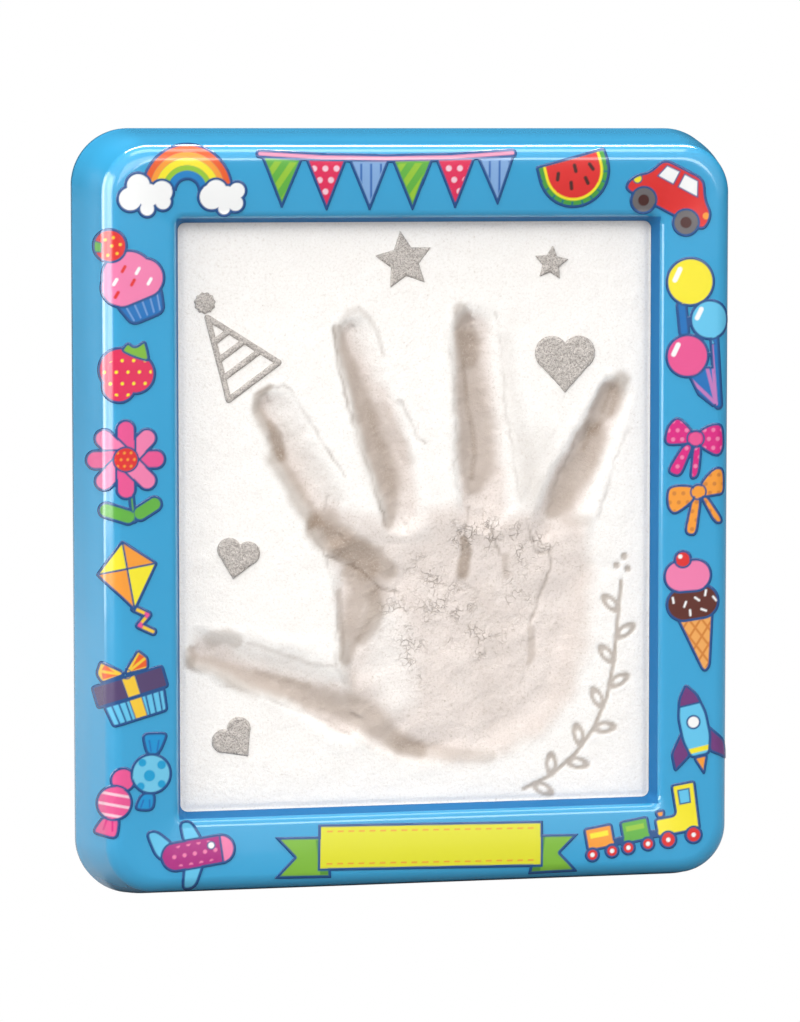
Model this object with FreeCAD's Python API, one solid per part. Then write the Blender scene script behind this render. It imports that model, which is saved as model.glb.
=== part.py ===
import FreeCAD, Part
import math
import os

os.makedirs("parts", exist_ok=True)

# Child's handprint frame: a deep moulded frame round a slab of white modelling clay.
# X runs to the right, Y to the back and Z up. All lengths are in millimetres.

# Whole frame
frame_width = 187.4
frame_height = 216.0
frame_depth = 33.0
corner_radius = 16.0
member_width = 24.3
front_round = 4.1
side_draft = 5.1
back_land = 3.0
shell_wall = 2.2
cut_over = 0.5

# Front face and window
crest_flat = 0.4
face_fall = 1.2
lip_round = 1.8
window_draft = 1.75
window_corner = 3.0
clay_plane = 7.6

# Clay and its tray
slab_lap = 3.6
slab_thickness = 9.0
slab_corner = 5.0
tray_wall = 1.6
tray_gap = 0.15

# Hand impression
finger_radius = 8.2
finger_depth = 3.4
palm_depth = 2.8
hollow_depth = 3.6

# Ring that closes the hollow shell from behind
rear_recess = 2.5
ring_thickness = 4.0
ring_gap = 0.15
cover_inset = 14.0
ledge_inset = 18.0
cover_corner = 6.0

# Ribs, bosses and their screws
rib_thickness = 1.6
boss_radius = 3.6
post_radius = 2.6
screw_inset = 9.2
screw_shank = 1.3
screw_head = 2.7
screw_head_height = 1.5
screw_length = 12.0
cross_slot_width = 0.7
cross_slot_depth = 0.6

# Cover and the stand that folds into it
cover_thickness = 2.2
cover_gap = 0.15
leg_hinge_height = 148.0
leg_length = 145.2
leg_top_width = 26.0
leg_foot_width = 46.0
leg_thickness = 3.2
leg_corner = 5.0
leg_gap = 0.5
leg_rim = 2.6
leg_pocket_depth = 1.2
channel_floor = 2.0
hinge_barrel = 2.1
hinge_lug = 2.3
hinge_lug_width = 5.0
hinge_pin_radius = 0.9
pin_clearance = 0.05
hinge_inset = 2.6
leg_opening = 27.0
heel_height = 4.0
heel_thickness = 1.7
stop_gap = 0.1

# Turn buttons that hold the cover
button_radius = 4.0
button_tip_radius = 3.0
button_reach = 10.5
button_thickness = 1.2
button_lift = 0.1
pivot_radius = 1.5
pivot_clearance = 0.06
pivot_head = 2.9
pivot_head_height = 0.9
pivot_depth = 3.0

# Sawtooth hanger
hanger_width = 36.0
hanger_height = 8.0
hanger_thickness = 0.8
hanger_tooth = 2.2
hanger_bridge = 0.8
hanger_pad = 6.0
hanger_screw_radius = 0.9
hanger_head_radius = 1.9
hanger_head_height = 0.6
hanger_screw_length = 3.4
hanger_tooth_flat = 0.5
hanger_teeth = 6

# Stickers on the face and glitter shapes on the clay
sticker_thickness = 0.25
sticker_wrap = 18.0
glitter_thickness = 0.8

mid_height = frame_height / 2
window_width = frame_width - 2 * member_width
window_height = frame_height - 2 * member_width
window_mean = (window_width + window_height) / 2
ring_back = frame_depth - rear_recess
ring_front = ring_back - ring_thickness
cover_back = ring_back - cover_gap
cover_front = cover_back - cover_thickness
tray_back = clay_plane + slab_thickness + tray_wall
slab_inset = member_width + window_draft - slab_lap
tray_inset = slab_inset - tray_gap - tray_wall
hinge_depth = frame_depth - hinge_inset
channel_depth = hinge_depth - hinge_barrel - leg_gap / 2
origin_depth = (frame_depth - sticker_thickness) / 2


def v(x, y, z):
    return FreeCAD.Vector(x, y, z)


def save(shape, name):
    """Moves a piece so that the origin is under the middle of the frame, and writes it."""
    placed = shape.copy()
    placed.translate(v(0, -origin_depth, 0))
    placed.exportStep("parts/" + name + ".step")


def side_inset(depth):
    """How far the outside has leaned in at a depth behind the front; its last stretch to the back is straight."""
    leaning = frame_depth - back_land
    return side_draft * max(leaning - depth, 0) / leaning


def taper_radius(inset):
    """Corner radius of the frame's outlines, which shrinks evenly from the outside to the window."""
    return corner_radius - (corner_radius - window_corner) * inset / member_width


# Rounded outlines, plates and tapers about the frame's centre

def outline(inset, radius, y):
    """Rounded rectangle that lies inset from the frame's outside, in the plane at y."""
    right = frame_width / 2 - inset
    top = frame_height - inset
    bottom = inset
    knee = radius * (1 - math.sqrt(0.5))
    edges = []
    for side_x, side_z, turn in ((1, 1, 0), (1, -1, 1), (-1, -1, 2), (-1, 1, 3)):
        x = side_x * right
        z = top if side_z > 0 else bottom
        along_z = v(x - side_x * radius, y, z)
        along_x = v(x, y, z - side_z * radius)
        middle = v(x - side_x * knee, y, z - side_z * knee)
        first, last = (along_z, along_x) if turn in (0, 2) else (along_x, along_z)
        edges.append((first, middle, last))
    parts = []
    for index, (first, middle, last) in enumerate(edges):
        following = edges[(index + 1) % len(edges)][0]
        parts.append(Part.Arc(first, middle, last).toShape())
        parts.append(Part.LineSegment(last, following).toShape())
    return Part.Wire(parts)


def plate(inset, radius, front, back):
    """Flat plate with a rounded outline."""
    return Part.Face(outline(inset, radius, front)).extrude(v(0, back - front, 0))


def taper(sections):
    """Solid through rounded outlines, given as inset, radius and depth."""
    return Part.makeLoft([outline(*section) for section in sections], True, True)


def box(left, right, front, back, bottom, top):
    return Part.makeBox(right - left, back - front, top - bottom, v(left, front, bottom))


def rod(x, z, radius, front, back):
    """Round bar along the depth."""
    return Part.makeCylinder(radius, back - front, v(x, front, z), v(0, 1, 0))


def prism(points, front, back):
    """Straight-sided plate through corner points given as x and z."""
    corners = [v(x, front, z) for x, z in points]
    return Part.Face(Part.makePolygon(corners + corners[:1])).extrude(v(0, back - front, 0))


def fused(solids):
    """One solid out of several that meet."""
    whole = solids[0]
    if len(solids) > 1:
        whole = whole.multiFuse(solids[1:]).removeSplitter()
    return whole


# Face of the frame, as a solid block and as the shell

def face_block(grown):
    """Solid block with drafted sides, a rounded front edge and the sloping face, grown outwards all over."""
    lean = side_inset(-grown)
    land = frame_depth - back_land
    block = taper([(lean - grown, taper_radius(lean) + grown, -grown), (-grown, corner_radius + grown, land)])
    block = block.fuse(plate(-grown, corner_radius + grown, land, frame_depth))
    front_edges = [e for e in block.Edges if e.BoundBox.YMax < -grown + cut_over / 2]
    block = block.makeFillet(front_round + grown, front_edges)
    crest = side_draft + front_round + crest_flat
    slope = (member_width - crest) / face_fall
    start = crest - cut_over * slope
    dish = taper([(start, taper_radius(start), -grown - cut_over),
                  (member_width, taper_radius(member_width), face_fall - grown)])
    return block.cut(dish)


def window_inset(depth):
    """Inset of the window's drafted wall at a depth behind the front."""
    return member_width + window_draft * (depth - face_fall) / (clay_plane - face_fall)


def side_core(wall, front, back):
    """Solid that keeps a wall away from the drafted outside."""
    sections = [(side_inset(depth), depth) for depth in (front, back)]
    return taper([(inset + wall, taper_radius(inset) - wall, depth) for inset, depth in sections])


def front_shell():
    """Hollow moulded frame: rounded face, drafted window collar, ribs and screw bosses."""
    front = face_fall - cut_over
    back = clay_plane + cut_over
    window = taper([(window_inset(front), window_corner, front),
                    (window_inset(back), window_corner, back)])
    block = face_block(0).cut(window)
    lip = [e for e in block.Edges if is_lip(e)]
    block = block.makeFillet(lip_round, lip)
    ceiling = shell_wall + face_fall
    hollow = side_core(shell_wall, ceiling, ring_front + cut_over)
    ceiling_edges = [e for e in hollow.Edges if e.BoundBox.YMax < ceiling + cut_over / 2]
    hollow = hollow.makeFillet(front_round - shell_wall, ceiling_edges)
    hollow = hollow.fuse(plate(shell_wall, corner_radius - shell_wall, ring_front, frame_depth + cut_over))
    collar = plate(member_width - shell_wall, window_corner + shell_wall, 0, clay_plane)
    shell = block.cut(hollow.cut(collar))
    pieces = [shell] + shell_ribs(ceiling) + [shell_boss(x, z, ceiling) for x, z in screw_places()]
    whole = fused(pieces)
    for x, z in screw_places():
        whole = whole.cut(rod(x, z, screw_shank, ring_back - screw_length, ring_front + cut_over))
    return whole


def is_lip(edge):
    """True for the edges where the face meets the window's drafted wall."""
    bounds = edge.BoundBox
    at_depth = abs(bounds.YMin - face_fall) < cut_over / 2 and bounds.YLength < cut_over / 2
    crest = side_draft + front_round
    inside_x = max(abs(bounds.XMin), abs(bounds.XMax)) < frame_width / 2 - crest
    inside_z = bounds.ZMin > crest and bounds.ZMax < frame_height - crest
    return at_depth and inside_x and inside_z


def shell_ribs(ceiling):
    """Webs inside the shell that stiffen it and keep the tray in the middle."""
    ribs = []
    reach = tray_inset - tray_gap
    half = rib_thickness / 2
    inner = shell_wall / 2
    for share in (-0.30, 0.0, 0.30):
        z = mid_height + share * frame_height
        x = frame_width / 2
        ribs.append(box(-x, -x + reach, ceiling - inner, tray_back, z - half, z + half))
        ribs.append(box(x - reach, x, ceiling - inner, tray_back, z - half, z + half))
    for share in (-0.22, 0.22):
        x = share * frame_width
        top = frame_height
        ribs.append(box(x - half, x + half, ceiling - inner, tray_back, 0, reach))
        ribs.append(box(x - half, x + half, ceiling - inner, tray_back, top - reach, top))
    core = side_core(inner, ceiling - shell_wall, tray_back + cut_over)
    return [rib.common(core) for rib in ribs]


def screw_places():
    """Ring screws: one near each end of the top and bottom, and one in the middle of each side."""
    x = frame_width / 2 - screw_inset
    corner = frame_width / 2 - corner_radius
    places = [(-x, mid_height), (x, mid_height)]
    for z in (screw_inset, frame_height - screw_inset):
        places += [(-corner, z), (corner, z)]
    return places


def shell_boss(x, z, ceiling):
    """Post that takes a ring screw."""
    return rod(x, z, boss_radius, ceiling - shell_wall / 2, ring_front)


# Clay slab and tray

def clay_tray():
    """Shallow tray whose rim bears on the back of the window collar."""
    outer = plate(tray_inset, slab_corner + tray_wall, clay_plane, tray_back)
    inner_inset = slab_inset - tray_gap
    inside = plate(inner_inset, slab_corner, clay_plane - cut_over, tray_back - tray_wall)
    return outer.cut(inside)


# Fingers as tip and base, from the window's middle in shares of its width and height
finger_shares = {
    "thumb": ((-0.425, -0.223), (-0.135, -0.359)),
    "index": ((-0.286, 0.175), (-0.122, -0.039)),
    "middle": ((-0.130, 0.294), (-0.007, -0.013)),
    "ring": ((0.107, 0.297), (0.132, -0.013)),
    "little": ((0.394, 0.187), (0.250, -0.039)),
}

# Edge of the palm, from the window's middle in shares of its width and height
palm_edge_shares = [
    (-0.159, -0.039), (-0.054, 0.000), (0.081, 0.010), (0.203, -0.004), (0.300, -0.026),
    (0.362, -0.129), (0.358, -0.258), (0.290, -0.381), (0.149, -0.423), (0.000, -0.423),
    (-0.142, -0.387), (-0.159, -0.284), (-0.128, -0.168),
]
palm_step_shares = ((1.02, -0.2), (0.94, 0.6), (0.80, 1.0))

# Deeper hollows of the palm as place, and radius as a share of the window's width
hollow_shares = [
    ((0.041, -0.077), 0.1215),
    ((0.203, -0.097), 0.1215),
    ((0.108, -0.245), 0.1485),
    ((-0.027, -0.329), 0.1148),
    ((0.230, -0.316), 0.1148),
]


def clay_place(place_share):
    """Point on the clay from shares of the window's width and height, from its middle."""
    return place_share[0] * window_width, mid_height + place_share[1] * window_height


def finger_groove(tip_share, base_share):
    """Round-bottomed groove: a rod with ball ends that dips into the clay."""
    tip_x, tip_z = clay_place(tip_share)
    base_x, base_z = clay_place(base_share)
    depth = clay_plane - finger_radius + finger_depth
    tip = v(tip_x, depth, tip_z)
    base = v(base_x, depth, base_z)
    run = base.sub(tip)
    groove = Part.makeCylinder(finger_radius, run.Length, tip, run)
    return fused([groove, Part.makeSphere(finger_radius, tip), Part.makeSphere(finger_radius, base)])


def palm_outline(grow_share, depth_share):
    """Closed smooth curve through the palm's edge, grown about its middle, at a share of its depth."""
    points = [clay_place(place_share) for place_share in palm_edge_shares]
    middle_x = sum(x for x, z in points) / len(points)
    middle_z = sum(z for x, z in points) / len(points)
    depth = clay_plane + depth_share * palm_depth
    curve = Part.BSplineCurve()
    curve.interpolate(Points=[v(middle_x + grow_share * (x - middle_x), depth,
                                middle_z + grow_share * (z - middle_z)) for x, z in points],
                      PeriodicFlag=True)
    return Part.Wire([curve.toShape()])


def palm_press():
    """Body of the palm: sloping walls down to a flat floor."""
    return Part.makeLoft([palm_outline(*step) for step in palm_step_shares], True, True)


def palm_hollow(place_share, radius_share):
    """Dish in the palm's floor, whose radius is that at the clay's surface."""
    x, z = clay_place(place_share)
    reach = radius_share * window_width
    ball = (reach * reach + hollow_depth * hollow_depth) / (2 * hollow_depth)
    return Part.makeSphere(ball, v(x, clay_plane + hollow_depth - ball, z))


def clay_slab():
    """Clay slab with the pressed hand."""
    slab = plate(slab_inset, slab_corner, clay_plane, clay_plane + slab_thickness)
    slab = slab.cut(palm_press())
    for place_share, radius_share in hollow_shares:
        slab = slab.cut(palm_hollow(place_share, radius_share))
    for tip_share, base_share in finger_shares.values():
        slab = slab.cut(finger_groove(tip_share, base_share))
    return slab


# Ring, cover and leg

def leg_outline(grown, foot):
    """Tapered tongue as corner points, grown sideways, from the hinge down to the foot height."""
    top = leg_top_width / 2 + grown
    low = leg_foot_width / 2 + grown
    return [(-low, foot), (low, foot), (top, leg_hinge_height), (-top, leg_hinge_height)]


def leg_channel(front, back, foot):
    """Room for the folded leg, with a bay round its hinge."""
    bay = leg_top_width / 2 + hinge_lug_width + leg_gap
    tongue = prism(leg_outline(leg_gap, foot), front, back)
    low = leg_hinge_height - hinge_lug - leg_gap
    high = leg_hinge_height + heel_height + leg_gap
    return tongue.fuse(box(-bay, bay, front, back, low, high))


def rear_ring():
    """Flat ring with a ledge for the cover and a notch for the leg's foot."""
    fit = shell_wall + ring_gap
    ring = plate(fit, corner_radius - fit, ring_front, ring_back)
    ring = ring.cut(plate(cover_inset, cover_corner, cover_front, ring_back + cut_over))
    ring = ring.cut(plate(ledge_inset, cover_corner, ring_front - cut_over, ring_back + cut_over))
    ring = ring.cut(leg_channel(channel_depth, frame_depth + cut_over, fit - cut_over))
    for x, z in screw_places():
        ring = ring.cut(ring_screw(x, z, False))
    for x, z in button_places():
        ring = ring.cut(rod(x, z, pivot_radius, ring_back - pivot_depth, ring_back + cut_over))
    for x, z in hanger_screw_places():
        start = ring_back - hanger_screw_length + hanger_thickness + hanger_bridge
        ring = ring.cut(rod(x, z, hanger_screw_radius, start, ring_back + cut_over))
    return ring


def ring_screw(x, z, slotted):
    """Countersunk screw, flush with the back of the ring."""
    shank = rod(x, z, screw_shank, ring_back - screw_length, ring_back - screw_head_height)
    head = Part.makeCone(screw_shank, screw_head, screw_head_height,
                         v(x, ring_back - screw_head_height, z), v(0, 1, 0))
    screw = fused([shank, head])
    if slotted:
        screw = screw.cut(cross_slot(x, z, ring_back, screw_head))
    return screw


def cross_slot(x, z, top, head_radius):
    """Two crossed slots cut into a screw head."""
    reach = 0.6 * head_radius
    half = cross_slot_width / 2
    low = top - cross_slot_depth
    high = top + cut_over
    upright = box(x - half, x + half, low, high, z - reach, z + reach)
    return upright.fuse(box(x - reach, x + reach, low, high, z - half, z + half))


def back_cover():
    """Cover with the leg's channel, its hinge lugs and the posts that press on the tray."""
    inset = cover_inset + cover_gap
    cover = plate(inset, cover_corner - cover_gap, cover_front, cover_back)
    floor_front = channel_depth - channel_floor
    low = ledge_inset + leg_gap
    backing = leg_outline(leg_gap + channel_floor, low)
    bay = leg_top_width / 2 + hinge_lug_width + leg_gap + channel_floor
    rise = heel_height + leg_gap + channel_floor
    solids = [cover, prism(backing, floor_front, cover_back),
              box(-bay, bay, floor_front, cover_back, leg_hinge_height - rise, leg_hinge_height + rise)]
    solids += [rod(x, z, post_radius, tray_back, cover_front) for x, z in post_places()]
    cover = fused(solids)
    cover = cover.cut(leg_channel(channel_depth, frame_depth, 0))
    lugs = []
    for side in (-1, 1):
        near = side * (leg_top_width / 2 + leg_gap)
        far = side * (leg_top_width / 2 + leg_gap + hinge_lug_width - leg_gap)
        left = min(near, far)
        barrel = Part.makeCylinder(hinge_lug, abs(far - near), v(left, hinge_depth, leg_hinge_height), v(1, 0, 0))
        foot = box(left, max(near, far), floor_front, hinge_depth,
                   leg_hinge_height - hinge_lug, leg_hinge_height + hinge_lug)
        lugs += [barrel, foot]
    cover = fused([cover] + lugs)
    return cover.cut(hinge_bore(hinge_pin_radius))


def hinge_bore(radius):
    reach = leg_top_width / 2 + hinge_lug_width
    return Part.makeCylinder(radius, 2 * reach, v(-reach, hinge_depth, leg_hinge_height), v(1, 0, 0))


def post_places():
    """Posts near the corners of the tray and one above the hinge."""
    x = frame_width / 2 - member_width - slab_lap
    low = member_width + slab_lap
    high = frame_height - low
    return [(-x, low), (x, low), (-x, high), (x, high), (-x, mid_height), (x, mid_height), (0, high)]


def easel_leg():
    """Tapered leg with a pocketed back, a barrel at its hinge and a heel that stops it."""
    foot = leg_hinge_height - leg_length
    front = hinge_depth - hinge_barrel + leg_gap / 2
    back = front + leg_thickness
    tongue = prism(leg_outline(0, foot), front, back)
    low = mid_height / 2
    feet = [e for e in tongue.Edges if e.BoundBox.YLength > leg_thickness / 2 and e.BoundBox.ZMax < low]
    tongue = tongue.makeFillet(leg_corner, feet)
    inner = [(x * (1 - leg_rim / abs(x)), z) for x, z in leg_outline(0, foot)]
    top = leg_hinge_height - hinge_barrel - leg_rim
    pocket = prism([(inner[0][0], foot + leg_rim), (inner[1][0], foot + leg_rim),
                    (inner[2][0], top), (inner[3][0], top)], back - leg_pocket_depth, back + cut_over)
    uprights = [e for e in pocket.Edges if e.BoundBox.YLength > leg_pocket_depth and e.BoundBox.ZLength < leg_rim]
    pocket = pocket.makeFillet(leg_rim, uprights)
    half = leg_top_width / 2
    barrel = Part.makeCylinder(hinge_barrel, leg_top_width, v(-half, hinge_depth, leg_hinge_height), v(1, 0, 0))
    leg = fused([tongue.cut(pocket), barrel, leg_heel()])
    return leg.cut(hinge_bore(hinge_pin_radius + pin_clearance))


def leg_heel():
    """Block above the hinge that meets the channel's floor when the leg is open."""
    angle = math.radians(leg_opening)
    room = hinge_depth - channel_depth - stop_gap
    front = hinge_depth - (room - heel_height * math.sin(angle)) / math.cos(angle)
    half = leg_top_width / 2
    return box(-half, half, front, front + heel_thickness, leg_hinge_height, leg_hinge_height + heel_height)


# Turn buttons and hanger

button_height_shares = (0.25, 0.75)


def button_places():
    x = frame_width / 2 - screw_inset
    return [(side * x, share * frame_height) for share in button_height_shares for side in (-1, 1)]


def turn_button(x, z):
    """Flat lever that points inwards over the cover, with a raised grip at its tip."""
    front = ring_back + button_lift
    back = front + button_thickness
    inwards = -1 if x > 0 else 1
    tip = x + inwards * button_reach
    head = rod(x, z, button_radius, front, back)
    nose = rod(tip, z, button_tip_radius, front, back)
    web = prism([(x, z - button_radius), (tip, z - button_tip_radius),
                 (tip, z + button_tip_radius), (x, z + button_radius)], front, back)
    lever = fused([head, web, nose])
    return lever.cut(rod(x, z, pivot_radius + pivot_clearance, front - cut_over, back + cut_over))


def pivot_screw(x, z):
    """Screw that a turn button swivels on."""
    seat = ring_back + 2 * button_lift + button_thickness
    shank = rod(x, z, pivot_radius, ring_back - pivot_depth, seat)
    head = rod(x, z, pivot_head, seat, seat + pivot_head_height)
    screw = fused([shank, head])
    return screw.cut(cross_slot(x, z, seat + pivot_head_height, pivot_head))


def hanger_place():
    """Centre height of the hanger on the ring's top strip."""
    return frame_height - screw_inset


def hanger_screw_places():
    x = hanger_width / 2 - hanger_pad / 2
    return [(-x, hanger_place()), (x, hanger_place())]


def sawtooth_hanger():
    """Pressed plate: two pads on the ring and a raised bridge with teeth along its underside."""
    z = hanger_place()
    half_width = hanger_width / 2
    bottom = z - hanger_height / 2
    top = z + hanger_height / 2
    raised = ring_back + hanger_bridge
    crown = raised + hanger_thickness
    bridge_half = half_width - hanger_pad
    bridge = box(-bridge_half, bridge_half, raised, crown, bottom, top)
    toothed_half = bridge_half - hanger_thickness
    pitch = 2 * toothed_half / hanger_teeth
    for index in range(hanger_teeth):
        left = -toothed_half + index * pitch + hanger_tooth_flat / 2
        right = left + pitch - hanger_tooth_flat
        notch = [(left, bottom - cut_over), (right, bottom - cut_over), (right, bottom),
                 ((left + right) / 2, bottom + hanger_tooth), (left, bottom)]
        bridge = bridge.cut(prism(notch, raised - cut_over, crown + cut_over))
    solids = [bridge]
    for side in (-1, 1):
        left = min(side * bridge_half, side * half_width)
        solids.append(box(left, left + hanger_pad, ring_back, ring_back + hanger_thickness, bottom, top))
        step = min(side * bridge_half, side * toothed_half)
        solids.append(box(step, step + hanger_thickness, ring_back, crown, bottom, top))
    hanger = fused(solids)
    for x, height in hanger_screw_places():
        hole = rod(x, height, hanger_screw_radius, ring_back - cut_over, crown)
        hanger = hanger.cut(hole)
    return hanger


def hanger_screw(x, z):
    seat = ring_back + hanger_thickness
    shank = rod(x, z, hanger_screw_radius, seat - hanger_screw_length + hanger_bridge, seat)
    return fused([shank, rod(x, z, hanger_head_radius, seat, seat + hanger_head_height)])


# Sticker outlines: each has its member, a centre, a turn and a list of discs, bars and polygons.
# The centre is a share along the member's side of the frame, and a share of the member's width in
# from the outer edge; in a corner it is a share of the frame's width from the middle and of its height.
# Forms are in shares of the member's width across it, and of the frame's side along it.
# A disc is x, z, radius, and a bowl its lower half; a bar is two ends and a radius; a polygon is
# its corners; an arch is the upper half of a ring; petals are bars round a middle.

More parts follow.
